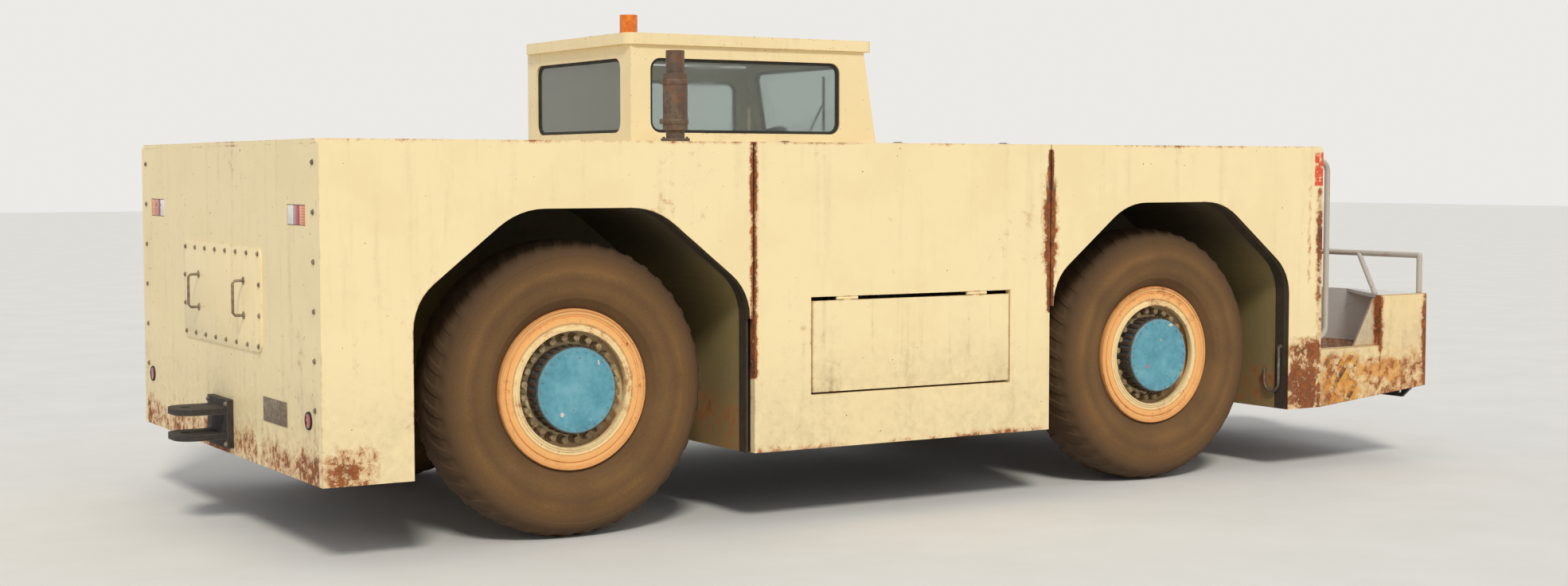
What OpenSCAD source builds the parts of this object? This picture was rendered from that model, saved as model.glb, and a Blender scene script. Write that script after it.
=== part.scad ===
// Aircraft pushback tractor. X points forward, Y to its left, Z up, in millimetres.
// The origin is on the ground, at the middle of the whole vehicle's length and width.

/* [Whole vehicle] */
// Distance between the front and rear axles
wheelbase = 3500; // [3300:50:4200]
// Front axle to the face of the front bumper
front_overhang = 1950; // [1900:10:2200]
// Rear axle to the face of the tail plate
rear_overhang = 1250; // [1100:10:1500]
// Width over the side plates
body_w = 2800; // [2740:10:3000]
// Height of the deck
deck_z = 1820; // [1750:10:1900]
// Height of the lower edge of the side plates
skirt_z = 350; // [300:10:380]
// Thickness of the side plates
side_t = 40; // [20:5:50]
// Thickness of the deck plates
deck_t = 20; // [10:2:30]
// Gap at each seam between two body sections
seam = 10; // [4:1:20]

/* [Wheels] */
// Outer diameter of a tyre
tyre_od = 1370; // [1300:10:1400]
// Width of a tyre
tyre_w = 380; // [340:10:390]
// Diameter of the rim flange
rim_d = 744; // [700:4:780]
// Width of the rim over its flanges
rim_w = 290; // [270:5:300]
// Diameter of the opening in the rim's face
rim_open_d = 536; // [480:4:580]
// Diameter of the hub cap
hub_cap_d = 400; // [340:5:440]
// Wheel centre to the middle of the vehicle
wheel_y = 1085; // [1070:5:1100]
// Kingpin to the middle of the vehicle
kingpin_y = 835; // [820:5:845]
// Length of a steering arm
arm_l = 250; // [230:5:270]
// Diameter of a wheel spindle
spindle_d = 110; // [90:5:130]
// Radial clearance of a pin or shaft that turns
fit = 0.1; // [0.05:0.05:0.2]
// Gap between parts that slide past each other face to face
run = 0.4; // [0.3:0.1:1]

/* [Wheel arches] */
// Half the length of the flat top of an arch
arch_flat = 340; // [300:10:380]
// Half the length of an arch at its shoulders
arch_half = 840; // [820:5:850]
// Height of the top of an arch
arch_top = 1517; // [1480:1:1560]
// Height of the shoulders of an arch
arch_shoulder = 1120; // [1060:10:1160]
// Corner radius at the top of an arch
arch_r = 360; // [300:10:400]
// Corner radius at the shoulders of an arch
shoulder_r = 260; // [200:10:300]
// Thickness of the wheel well sheet
well_t = 12; // [6:1:16]

/* [Frame] */
// Half the width over the frame rails
rail_y = 430; // [400:5:450]
// Thickness of a frame rail
rail_t = 60; // [40:5:80]
// Height of the belly plate's upper face
belly_z = 380; // [370:5:400]
// Height of the rails' upper edge amidships
rail_top = 780; // [740:10:790]
// Height of the rails' lower edge over an axle
kick_z = 840; // [840:5:860]
// Height of the rails' upper edge over an axle
kick_top = 1140; // [1100:10:1200]
// Diameter of the axle tubes
axle_d = 240; // [200:10:260]

/* [Platform and bumper] */
// Length of the standing platform with the bumper
platform_l = 860; // [800:10:900]
// Height of the platform floor
floor_z = 660; // [640:5:700]
// Height of the upper edge of the bumper
bumper_top = 970; // [920:10:1020]
// Height of the lower edge of the white bumper plate
bumper_low = 600; // [580:5:620]
// Thickness of the bumper plate
bumper_t = 40; // [30:5:50]
// Length of an end post along the vehicle
post_l = 380; // [340:10:420]
// Height of the handrail over the ground
rail_z = 1190; // [1150:10:1250]
// Diameter of the handrail tube
tube_d = 34; // [28:1:50]
// Diameter of a hole in the step plates
hole_d = 34; // [24:1:38]
// Distance between two rows of these holes
hole_pitch = 58; // [54:1:64]

/* [Couplers] */
// Front coupler: how far it reaches ahead of the bumper
front_reach = 330; // [300:10:380]
// Rear coupler: how far it reaches behind the tail plate
rear_reach = 250; // [220:10:300]
// Thickness of a coupler shelf
shelf_t = 30; // [25:1:35]
// Height of the lowest shelf's lower face
shelf_z = 340; // [320:5:350]
// Distance between two shelves, middle to middle
shelf_pitch = 90; // [80:1:100]
// Number of shelves of the front coupler
shelf_n = 4; // [3:1:4]
// Width of the front coupler's shelves
hitch_w = 300; // [260:10:340]
// Diameter of a drawbar pin's bore
pin_d = 52; // [40:1:60]

/* [Cab] */
// Deck strip between the front seam and the cab
cab_front_gap = 65; // [40:5:90]
// Deck strip between the cab and the rear seam
cab_rear_gap = 125; // [80:5:160]
// Inner side wall of the cab, from the middle of the vehicle
cab_y = 100; // [80:5:140]
// Height of the cab floor
cab_floor_z = 820; // [800:5:860]
// Height of the roof's lower face
roof_z = 2360; // [2300:10:2420]
// Thickness of the roof
roof_t = 60; // [40:5:80]
// Thickness of the cab walls
wall_t = 40; // [30:5:50]
// Thickness of the window glass
glass_t = 6; // [5:1:10]
// Length of the cab door
door_l = 860; // [800:10:900]
// Gap around a door or lid
door_gap = 10; // [8:1:14]
// Radius of a hinge barrel
barrel_r = 8; // [7:0.5:9]
// Corner radius of the windows
window_r = 60; // [30:5:80]

/* [Lamps and exhaust] */
// Width of a headlamp
head_w = 220; // [160:10:260]
// Height of a headlamp
head_h = 130; // [100:10:160]
// Height of the headlamps' lower edge
head_z = 940; // [900:10:1020]
// Headlamps: distance from the side plates
head_in = 90; // [60:10:140]
// Width of a tail lamp
tail_w = 240; // [180:10:280]
// Height of a tail lamp
tail_h = 90; // [70:5:120]
// Height of the tail lamps' lower edge
tail_z = 1450; // [1300:10:1600]
// Tail lamps: distance from the side plates
tail_in = 140; // [100:10:200]
// Exhaust: distance from the right side plate
exhaust_in = 360; // [300:10:500]
// Height of the exhaust's mouth over the deck
exhaust_h = 440; // [350:10:600]

/* [Engine] */
// Length of the engine block
engine_l = 1200; // [1000:20:1300]
// Width of the engine block
engine_w = 670; // [600:10:750]
// Height of the engine block
engine_h = 1120; // [900:10:1200]
// Gap between the engine block and the bulkhead ahead of it
engine_gap = 195; // [150:5:250]

/* [Front grille] */
// Half the width of the grille at its lower edge
grille_low = 980; // [900:10:1050]
// Half the width of the grille at its upper edge
grille_high = 620; // [560:10:700]
// Height of the grille's lower edge
grille_z0 = 1190; // [1150:10:1240]
// Height of the grille's upper edge
grille_z1 = 1560; // [1500:10:1620]
// Distance between two louvres
louvre_pitch = 45; // [38:1:50]
// Slope of a louvre
louvre_tilt = 35; // [20:1:45]

/* [Wheel ends] */
// Half the height of a knuckle between the arms of its fork
fork_z = 150; // [140:5:160]
// Thickness of an arm of the fork
fork_t = 40; // [30:5:45]
// Radius of a kingpin
kingpin_r = 30; // [26:1:34]
// Radius of a steering arm's pin
arm_pin_r = 18; // [14:1:22]
// Radius of the tie rod
tie_rod_r = 24; // [20:1:28]
// Half the length of the kick under a rail at belly height
kick_half = 560; // [540:10:580]
// Half the length of the kick under a rail at axle height
kick_flat = 300; // [280:10:320]

/* [Hidden] */
$fn = 48;

cream = [0.93, 0.86, 0.70];
half_w = body_w / 2;
inner_y = half_w - side_t;
x_bumper = (rear_reach + rear_overhang + wheelbase + front_overhang - front_reach) / 2;
x_front = x_bumper - front_overhang;
x_rear = x_front - wheelbase;
x_tail = x_rear - rear_overhang;
x_face = x_bumper - platform_l;
x_seam = x_front - arch_half - 2 * seam;
x_seam_rear = x_rear + arch_half + 2 * seam;
mid_x0 = x_seam_rear + seam / 2;
mid_x1 = x_seam - seam / 2;
wheel_z = tyre_od / 2;
plate_z = deck_z - deck_t;
belly_t = belly_z - skirt_z;
tail_t = 40;
face_t = 40;
floor_t = 20;
axle_z1 = wheel_z + axle_d / 2;
cab_x1 = mid_x1 - cab_front_gap;
cab_x0 = mid_x0 + cab_rear_gap;
cab_slope = 90;
door_x1 = cab_x1 - 110;
door_x0 = door_x1 - door_l;
door_top = roof_z - 40;
glass_z0 = deck_z + 70;
glass_z1 = roof_z - 70;
wall_x = 20;
cab_inside_z = cab_floor_z + 20;
hinge_drop = 180;
door_rim = 80;
pane_in = 17;
seat_x = cab_x0 + 480;
seat_y = (cab_y + inner_y) / 2 - 30;
seat_l = 480;
seat_w = 480;
seat_h = 300;
pan_t = 20;
back_h = 500;
cushion_t = 100;
cushion_gap = 0.3;
console_l = 260;
console_z = 650;
column_l = 330;
column_tilt = 35;
steer_r = 210;
exhaust_r = 45;
plate_t = 20;
gusset_t = 10;
gusset_l = 190;
slot_y = 160;
slot_w = 44;
slot_h = 80;
slot_d = 15;
plate_low = bumper_low + 130;
sign_y = 770;
sign_h = 120;
sign_w = 410;
corner_w = 540;
panel_w = 355;
edge_w = 40;
brace_r = 15;
grab_r = 16;
grab_out = 95;
grab_in = 20;
grab_bend = 60;
nose_r = 90;
pin_in = 70;
rear_low = 420;
rear_gap = 90;
housing_r = 150;
pinion_r = 60;
shaft_r = 34;
pad_w = 220;
pad_lip = 20;
fork_r = 80;
fork_w = 100;
fork_back = 150;
fork_top = fork_z + fork_t;
hub_back = 130;
spindle_end = 60;
arm_r = 35;
arm_t = 35;
arm_z = -50;
eye_r = 40;
eye_h = 50;
eye_z = arm_z - arm_t - eye_h / 2;
disc_r = 150;
disc_y = 40;
disc_t = 30;
cap_y = tyre_w / 2 - 5;
bead_seat = 26;
hub_r = 130;
flange_t = 18;

function unit(v) = v / norm(v);
function swing(a, b) = ((b - a + 540) % 360) - 180;

// Points of one corner b between a and c, rounded with radius r in n steps
function fillet(a, b, c, r, n) =
    r == 0 ? [b] :
    let (u = unit(a - b), v = unit(c - b), half = acos(u * v) / 2)
    let (m = b + unit(u + v) * r / sin(half))
    let (p = b + u * r / tan(half), q = b + v * r / tan(half))
    let (s = atan2(p[1] - m[1], p[0] - m[0]), e = atan2(q[1] - m[1], q[0] - m[0]))
    [for (i = [0:n]) m + r * [cos(s + swing(s, e) * i / n), sin(s + swing(s, e) * i / n)]];

// Outline through rows of [x, y, corner radius]
function rounded(rows, n = 6) = [
    for (i = [0:len(rows) - 1])
        let (k = len(rows), a = rows[(i + k - 1) % k], b = rows[i], c = rows[(i + 1) % k])
        each fillet([a[0], a[1]], [b[0], b[1]], [c[0], c[1]], b[2], n)];

function rect_rows(x0, x1, y0, y1, r) = [[x0, y0, r], [x1, y0, r], [x1, y1, r], [x0, y1, r]];

module box(x0, x1, y0, y1, z0, z1) {
    translate([x0, y0, z0]) cube([x1 - x0, y1 - y0, z1 - z0]);
}

// An outline in X and Z, from y0 to y1
module slab_y(y0, y1) {
    translate([0, y1, 0]) rotate([90, 0, 0]) linear_extrude(y1 - y0) children();
}

// An outline in Y and Z, from x0 to x1
module slab_x(x0, x1) {
    translate([x0, 0, 0]) rotate([90, 0, 90]) linear_extrude(x1 - x0) children();
}

// An outline in X and Y, from z0 to z1
module slab_z(z0, z1) {
    translate([0, 0, z0]) linear_extrude(z1 - z0) children();
}

module both_sides() {
    children();
    mirror([0, 1, 0]) children();
}

module rod_y(r, y0, y1) {
    translate([0, y1, 0]) rotate([90, 0, 0]) cylinder(r = r, h = y1 - y0);
}

module rod_x(r, x0, x1) {
    translate([x0, 0, 0]) rotate([0, 90, 0]) cylinder(r = r, h = x1 - x0);
}

module rod_z(r, z0, z1) {
    translate([0, 0, z0]) cylinder(r = r, h = z1 - z0);
}

// Outline of a wheel arch, larger by g, open at the bottom down to z0
function arch_rows(x, g, z0) = [
    [x - arch_half - g, z0, 0],
    [x + arch_half + g, z0, 0],
    [x + arch_half + g, arch_shoulder + g / 2, shoulder_r + g],
    [x + arch_flat + g / 2, arch_top + g, arch_r + g],
    [x - arch_flat - g / 2, arch_top + g, arch_r + g],
    [x - arch_half - g, arch_shoulder + g / 2, shoulder_r + g]];

module arch(x, g, z0) {
    polygon(rounded(arch_rows(x, g, z0)));
}

// Outline of the opening under a rail over an axle
module kick(x, z0) {
    polygon([[x - kick_half, z0], [x - kick_flat, kick_z], [x + kick_flat, kick_z], [x + kick_half, z0]]);
}

module rail_outline() {
    hump = kick_flat + 120;
    difference() {
        polygon([[x_tail + tail_t, belly_z],
            [x_bumper - bumper_t, belly_z],
            [x_bumper - bumper_t, floor_z - floor_t],
            [x_front + kick_half + 180, floor_z - floor_t],
            [x_front + hump, kick_top],
            [x_front - hump, kick_top],
            [x_front - kick_half - 80, rail_top],
            [x_rear + kick_half + 80, rail_top],
            [x_rear + hump, kick_top],
            [x_tail + tail_t, kick_top]]);
        kick(x_front, belly_z);
        kick(x_rear, belly_z);
    }
}

// Body frame: two rails, belly plate, cross members and the bulkheads amidships
module frame() {
    cross_y = rail_y - rail_t;
    low_x = [x_front - kick_half - 80, x_front + kick_half + 40, x_rear - kick_half - 140,
        x_rear + kick_half + 40, x_bumper - bumper_t - rail_t];
    color("dimgray") {
        both_sides() slab_y(cross_y, rail_y) rail_outline();
        box(mid_x0, mid_x1, -inner_y, inner_y, skirt_z, belly_z);
        for (x = low_x)
            box(x, x + rail_t, -cross_y, cross_y, belly_z, floor_z - floor_t);
        for (x = [x_front, x_rear], dx = [-kick_flat, kick_flat - rail_t])
            box(x + dx, x + dx + rail_t, -cross_y, cross_y, kick_z, kick_top);
        for (x = [mid_x0, mid_x1 - wall_x])
            box(x, x + wall_x, -inner_y, inner_y, belly_z, plate_z);
    }
}

// Curved sheets over the wheels, with the wall between them and the rails
module wheel_wells() {
    color("darkolivegreen") both_sides() for (x = [x_front, x_rear]) {
        slab_y(rail_y + well_t, inner_y) difference() {
            arch(x, well_t, skirt_z);
            arch(x, 0, skirt_z - 1);
        }
        slab_y(rail_y, rail_y + well_t) difference() {
            arch(x, well_t, skirt_z);
            kick(x, belly_z);
            translate([x - kick_half, skirt_z - 1]) square([2 * kick_half, belly_z - skirt_z + 1.01]);
        }
    }
}

module engine() {
    x = mid_x1 - engine_gap;
    y = -rail_y - 50;
    color("gray") box(x - engine_l, x, y - engine_w, y, belly_z, belly_z + engine_h);
}

// Axle tube with its middle housing, the pads that carry the rails, and the drive shaft
// towards the bulkhead at x_end
module axle_body(x, y1, x_end) {
    s = sign(x_end - x);
    translate([x, 0, wheel_z]) {
        rod_y(axle_d / 2, -y1, y1);
        rod_y(housing_r, -housing_r, housing_r);
        mirror([s < 0 ? 1 : 0, 0, 0]) {
            rod_x(pinion_r, 0, housing_r + pinion_r + 10);
            rod_x(shaft_r, 0, abs(x_end - x));
        }
    }
    both_sides() box(x - pad_w / 2, x + pad_w / 2, rail_y - rail_t - pad_lip, rail_y + pad_lip,
        wheel_z, kick_z);
}

// Front axle with a fork at each end that holds the kingpin
module axle_front() {
    color("dimgray") {
        axle_body(x_front, kingpin_y - fork_back, mid_x1);
        both_sides() translate([x_front, kingpin_y, wheel_z]) {
            for (s = [-1, 1]) mirror([0, 0, s < 0 ? 1 : 0]) {
                rod_z(fork_r, fork_z + run, fork_top);
                box(-fork_r, fork_r, -fork_back - fork_t, 0, fork_z + run, fork_top);
            }
            box(-fork_w, fork_w, -fork_back - fork_t, -fork_back, -fork_top, fork_top);
            rod_z(kingpin_r, -fork_top, fork_top);
        }
    }
}

module axle_rear() {
    color("dimgray") {
        axle_body(x_rear, wheel_y - hub_back - axle_d / 2, mid_x0);
        both_sides() translate([x_rear, 0, wheel_z]) {
            rod_y(housing_r, wheel_y - hub_back - axle_d / 2, wheel_y - hub_back);
            rod_y(spindle_d / 2, wheel_y - hub_back, wheel_y + spindle_end);
        }
    }
}

// Knuckle on its kingpin, with the spindle out to the wheel and the arm back to the tie rod
module knuckle() {
    difference() {
        union() {
            rod_z(fork_r + 5, -fork_z, fork_z);
            rod_y(spindle_d / 2, 0, wheel_y - kingpin_y + spindle_end);
            rod_y(fork_w, 0, wheel_y - kingpin_y - hub_back);
            box(-arm_l, 0, -arm_r, arm_r, arm_z - arm_t, arm_z);
            translate([-arm_l, 0, 0]) {
                rod_z(arm_r, arm_z - arm_t, arm_z);
                rod_z(arm_pin_r, eye_z - eye_h / 2 - 10, arm_z);
                rod_z(arm_pin_r + 12, eye_z - eye_h / 2 - 10, eye_z - eye_h / 2 - run);
            }
        }
        rod_z(kingpin_r + fit, -fork_z - 1, fork_z + 1);
    }
}

module knuckle_left() {
    color("dimgray") translate([x_front, kingpin_y, wheel_z]) knuckle();
}

module knuckle_right() {
    color("dimgray") translate([x_front, -kingpin_y, wheel_z]) mirror([0, 1, 0]) knuckle();
}

// Rod with an eye on each steering arm's pin
module tie_rod() {
    color("dimgray") translate([x_front - arm_l, 0, wheel_z + eye_z]) difference() {
        union() {
            rod_y(tie_rod_r, -kingpin_y, kingpin_y);
            both_sides() translate([0, kingpin_y, 0]) rod_z(eye_r, -eye_h / 2, eye_h / 2 - run);
        }
        both_sides() translate([0, kingpin_y, 0]) rod_z(arm_pin_r + fit, -eye_h, eye_h);
    }
}

// Half of a section, from the inside edge outwards, and its mirror image across the middle
function both_flanks(rows) = concat(rows, [for (i = [len(rows) - 1:-1:0]) [rows[i][0], -rows[i][1]]]);

// Tyre section in [radius, across], a closed ring on its rim
module tyre() {
    bead = rim_w / 2 - 20;
    seat = rim_d / 2 - bead_seat;
    wall = tyre_w / 2;
    flank = rim_d / 2 + 40;
    crown = tyre_od / 2;
    rotate([90, 0, 0]) rotate_extrude($fn = 96) polygon(both_flanks([
        [seat, -bead], [rim_d / 2, -bead], [flank, -bead - 30], [flank + 70, -wall],
        [flank + 150, -wall + 6], [crown - 45, -wall + 24],
        [crown - 12, -wall + 60], [crown, -wall + 110]]));
}

// Rim section in [radius, outward]: two flanges, the barrel, the stepped face ring and the wheel disc
module rim() {
    face = rim_w / 2;
    barrel = rim_d / 2 - 50;
    seat = rim_d / 2 - bead_seat - 0.3;
    rotate([-90, 0, 0]) rotate_extrude($fn = 96) polygon(concat(
        [[rim_d / 2, -face], [rim_d / 2, flange_t - face], [seat, flange_t - face],
            [seat, face - flange_t], [rim_d / 2, face - flange_t],
            [rim_d / 2, face - 4], [rim_d / 2 - 10, face]],
        lock_ring(rim_d / 2 - 32, face),
        lock_ring(rim_open_d / 2 + 26, face),
        [[rim_open_d / 2 + 4, face], [rim_open_d / 2, face - 4],
            [rim_open_d / 2, face - 24], [barrel, face - 24],
            [barrel, disc_y + disc_t], [disc_r, disc_y + disc_t], [disc_r, disc_y],
            [barrel, disc_y], [barrel, -face]]));
}

// Groove of a lock ring in the rim's face, at radius r
function lock_ring(r, face) = [[r + 7, face], [r + 4, face - 5], [r - 4, face - 5], [r - 7, face]];

// Hub that turns on the spindle, closed by the round cap
module hub() {
    r = spindle_d / 2 + fit;
    step = disc_y + disc_t + 0.3;
    rotate([-90, 0, 0]) rotate_extrude($fn = 64) polygon([
        [r, 10 - hub_back], [hub_r, 10 - hub_back], [hub_r, 50 - hub_back],
        [disc_r - 0.3, 70 - hub_back], [disc_r - 0.3, step],
        [hub_cap_d / 2, step], [hub_cap_d / 2, cap_y - 9], [hub_cap_d / 2 - 8, cap_y],
        [0, cap_y], [0, spindle_end + 2], [r, spindle_end + 2]]);
}

// Places a wheel part made for the left side at each corner
module at_wheel(x, side) {
    translate([x, side * wheel_y, wheel_z]) mirror([0, side < 0 ? 1 : 0, 0]) children();
}

module side_outline(x0, x1, z1) {
    polygon([[x0, skirt_z], [x1, skirt_z], [x1, z1], [x0, z1]]);
}

// Front side plates, with the arch open to the seam at its rear lower corner
module side_front() {
    color(cream) both_sides() slab_y(inner_y, half_w) difference() {
        polygon(rounded([[x_seam + seam / 2, skirt_z, 0], [x_face, skirt_z, 0],
            [x_face, deck_z, 25], [x_seam + seam / 2, deck_z, 0]]));
        arch(x_front, 0, skirt_z - 1);
        translate([x_seam, skirt_z - 1])
            square([x_front - x_seam, arch_shoulder - shoulder_r / 2 - skirt_z]);
    }
}

module side_rear() {
    color(cream) both_sides() slab_y(inner_y, half_w) difference() {
        polygon(rounded([[x_tail, skirt_z, 0], [x_seam_rear - seam / 2, skirt_z, 0],
            [x_seam_rear - seam / 2, deck_z, 0], [x_tail, deck_z, 25]]));
        arch(x_rear, 0, skirt_z - 1);
        translate([x_rear, skirt_z - 1])
            square([x_seam_rear - x_rear, arch_shoulder - shoulder_r / 2 - skirt_z]);
    }
}

step_x0 = door_x0 + 100;
step_x1 = door_x1 - 100;
step_z = skirt_z + 110;
step_h = 240;
step_d = 210;
step_t = 10;
hatch_x0 = cab_x0 + 200;
hatch_x1 = cab_x1 - 200;
hatch_z0 = 620;
hatch_z1 = 1060;
hatch_axis_z = hatch_z1 + door_gap;
hatch_hinge_x = [hatch_x0 + 200, hatch_x1 - 200];
hinge_y = half_w - barrel_r;

// Middle side plates: the right one has the hatch opening, the left one the cab door and the step
module side_mid() {
    color(cream) {
        mirror([0, 1, 0]) slab_y(inner_y, half_w) difference() {
            side_outline(mid_x0, mid_x1, deck_z);
            translate([hatch_x0 - door_gap, hatch_z0 - door_gap])
                square([hatch_x1 - hatch_x0 + 2 * door_gap, hatch_z1 - hatch_z0 + 3 * door_gap]);
        }
        slab_y(inner_y, half_w) difference() {
            side_outline(mid_x0, mid_x1, deck_z);
            translate([door_x0 - door_gap, cab_floor_z])
                square([door_l + 3 * door_gap, deck_z - cab_floor_z + 1]);
            translate([step_x0, step_z]) square([step_x1 - step_x0, step_h]);
        }
        step_pocket();
        door_pins(cab_floor_z + hinge_drop);
        for (x = hatch_hinge_x) translate([x, -hinge_y, hatch_axis_z]) {
            pin_x(hinge_l);
            for (s = [-1, 1]) translate([s * hinge_l / 3, 0, 0])
                box(-hinge_l / 6, hinge_l / 6, -4, 4, 0, door_gap);
        }
    }
}

// Fixed half of a door hinge: a pin with two outer barrels and their leaves, along Z
module door_pins(z) {
    translate([door_x1 + door_gap, hinge_y, z]) {
        rotate([0, -90, 0]) pin_x(hinge_l);
        for (s = [-1, 1]) translate([0, 0, s * hinge_l / 3])
            box(0, door_gap, -4, 4, -hinge_l / 6, hinge_l / 6);
    }
}

// Boarding step: a pocket behind the left side plate
module step_pocket() {
    difference() {
        box(step_x0 - step_t, step_x1 + step_t, inner_y - step_d - step_t, inner_y,
            step_z - step_t, step_z + step_h + step_t);
        box(step_x0, step_x1, inner_y - step_d, inner_y + 1, step_z, step_z + step_h);
    }
}

// Front deck, with two shallow grip pads
module deck_front() {
    pad_x = kick_flat;
    pad_y = inner_y / 2 + 20;
    pad_half = 200;
    color(cream) difference() {
        box(x_seam + seam / 2, x_face, -inner_y, inner_y, plate_z, deck_z);
        both_sides() box(x_front - pad_x, x_front + pad_x, pad_y - pad_half, pad_y + pad_half,
            deck_z - 8, deck_z + 1);
    }
}

// Rear deck, with a row of cooling slots
module deck_rear() {
    slot_w = 50;
    slot_pitch = 90;
    slot_half = rail_y - 10;
    color(cream) difference() {
        box(x_tail, x_seam_rear - seam / 2, -inner_y, inner_y, plate_z, deck_z);
        for (i = [0:5]) translate([x_rear - 250 + slot_pitch * i, 0, 0])
            box(0, slot_w, -slot_half, slot_half, plate_z - 1, deck_z + 1);
    }
}

// Deck round the cab, with the strip that carries the hood's hinges
module deck_mid() {
    color(cream) {
        difference() {
            box(mid_x0, mid_x1, cab_y - hood_gap, inner_y, plate_z, deck_z);
            box(cab_x0, cab_x1, cab_y, inner_y + 1, plate_z - 1, deck_z + 1);
        }
        for (x = hood_hinge_x) hood_pin(x);
    }
}

hood_gap = 55;
hood_y1 = cab_y - hood_gap - door_gap;
hood_axis_y = cab_y - hood_gap - door_gap / 2;
hood_axis_z = deck_z + barrel_r;
hood_hinge_x = [mid_x0 + 250, mid_x1 - 250];
hood_x0 = mid_x0 + wall_x + door_gap;
hood_x1 = mid_x1 - wall_x - door_gap;
hinge_l = 120;
leaf_t = 6;
leaf_l = 20;
skin_t = 8;
rim_h = 50;

// Pin and two outer barrels of a hinge along X, centred on the origin
module pin_x(l) {
    rod_x(barrel_r / 2, -l / 2, l / 2);
    for (s = [-1, 1]) translate([s * l / 3, 0, 0]) rod_x(barrel_r, -l / 6, l / 6);
}

// Middle barrel of the same hinge
module barrel_x(l) {
    difference() {
        rod_x(barrel_r, run - l / 6, l / 6 - run);
        rod_x(barrel_r / 2 + fit, -l, l);
    }
}

module hood_pin(x) {
    translate([x, hood_axis_y, hood_axis_z]) {
        pin_x(hinge_l);
        for (s = [-1, 1]) translate([s * hinge_l / 3, 0, 0])
            box(-hinge_l / 6, hinge_l / 6, 0, barrel_r + leaf_l, -barrel_r, leaf_t - barrel_r);
    }
}

// Engine hood: a plate with a turned rim and two rows of cooling slots
module engine_hood() {
    slot_w = 40;
    slot_l = 380;
    slot_pitch = 100;
    slot_x = (hood_x0 + hood_x1) / 2 - 4.9 * slot_pitch;
    color(cream) {
        difference() {
            union() {
                difference() {
                    box(hood_x0, hood_x1, door_gap - inner_y, hood_y1, deck_z - rim_h, deck_z);
                    box(hood_x0 + skin_t, hood_x1 - skin_t, door_gap + skin_t - inner_y,
                        hood_y1 - skin_t, deck_z - rim_h - 1, deck_z - skin_t);
                }
                for (x = hood_hinge_x) translate([x, hood_axis_y, hood_axis_z])
                    box(run - hinge_l / 6, hinge_l / 6 - run, -barrel_r - leaf_l, 0,
                        -barrel_r, leaf_t - barrel_r);
            }
            for (x = hood_hinge_x) translate([x, hood_axis_y, hood_axis_z])
                rod_x(barrel_r / 2 + fit, -hinge_l, hinge_l);
            for (i = [0:9], y = [-inner_y + 310, -inner_y + 860])
                translate([slot_x + slot_pitch * i, y, 0])
                    box(0, slot_w, 0, slot_l, deck_z - 20, deck_z + 1);
        }
        for (x = hood_hinge_x) translate([x, hood_axis_y, hood_axis_z]) barrel_x(hinge_l);
    }
}

// Service hatch: a thin skin with turned edges, hung from two hinges
module side_hatch() {
    color(cream) {
        difference() {
            box(hatch_x0, hatch_x1, -half_w, 30 - half_w, hatch_z0, hatch_z1);
            box(hatch_x0 + skin_t, hatch_x1 - skin_t, skin_t - half_w, 31 - half_w,
                hatch_z0 + skin_t, hatch_z1 - skin_t);
        }
        for (x = hatch_hinge_x) translate([x, -hinge_y, hatch_axis_z]) {
            barrel_x(hinge_l);
            difference() {
                box(run - hinge_l / 6, hinge_l / 6 - run, -4, 4, -door_gap, 0);
                rod_x(barrel_r / 2 + fit, -hinge_l, hinge_l);
            }
        }
    }
}

// Front face of the body, with the opening for the grille
grille_rows = [[-grille_low, grille_z0, 60], [grille_low, grille_z0, 60],
    [grille_high, grille_z1, 60], [-grille_high, grille_z1, 60]];

module headlamp_outline() {
    for (s = [-1, 1]) translate([s * (inner_y - head_in - head_w / 2) - head_w / 2, head_z])
        square([head_w, head_h]);
}

module tail_lamp_outline() {
    for (s = [-1, 1]) translate([s * (inner_y - tail_in - tail_w / 2) - tail_w / 2, tail_z])
        square([tail_w, tail_h]);
}

module front_face() {
    color(cream) slab_x(x_face - face_t, x_face) difference() {
        translate([-inner_y, floor_z]) square([2 * inner_y, plate_z - floor_z]);
        polygon(rounded(grille_rows));
        headlamp_outline();
    }
}

// Louvred grille set back in its opening, its louvres joined by four bars
module front_grille() {
    back = x_face - face_t;
    count = floor((grille_z1 - grille_z0) / louvre_pitch);
    color("dimgray") intersection() {
        union() {
            for (i = [0:count - 1]) translate([back - 30, 0, grille_z0 + 10 + louvre_pitch * i])
                rotate([0, -louvre_tilt, 0]) box(-4, 50, -grille_low, grille_low, -3, 3);
            for (k = [-3, -1, 1, 3]) translate([0, k * grille_high / 4, 0])
                box(back - 40, back - 10, -10, 10, grille_z0, grille_z1);
        }
        slab_x(x_face - 200, x_face - 5) polygon(rounded(grille_rows));
    }
}

module tail_plate() {
    color(cream) slab_x(x_tail, x_tail + tail_t) difference() {
        translate([-inner_y, skirt_z]) square([2 * inner_y, plate_z - skirt_z]);
        tail_lamp_outline();
    }
}

module platform_floor() {
    color("sienna") box(x_face, x_bumper - bumper_t, -inner_y, inner_y, floor_z - floor_t, floor_z);
}

// Side plates of the platform with their end posts, and the gussets inside the posts
module platform_sides() {
    x_post = x_bumper - post_l;
    color(cream) both_sides() {
        slab_y(inner_y, half_w)
            polygon([[x_face, skirt_z], [x_bumper, skirt_z + 80], [x_bumper, bumper_top],
                [x_post, bumper_top], [x_post, floor_z + plate_t], [x_face, floor_z + plate_t]]);
        slab_y(inner_y - gusset_t, inner_y)
            polygon([[x_post - gusset_l, floor_z], [x_post + 40, floor_z],
                [x_post + 40, bumper_top - plate_t], [x_post - 20, bumper_top - plate_t]]);
    }
}

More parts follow.
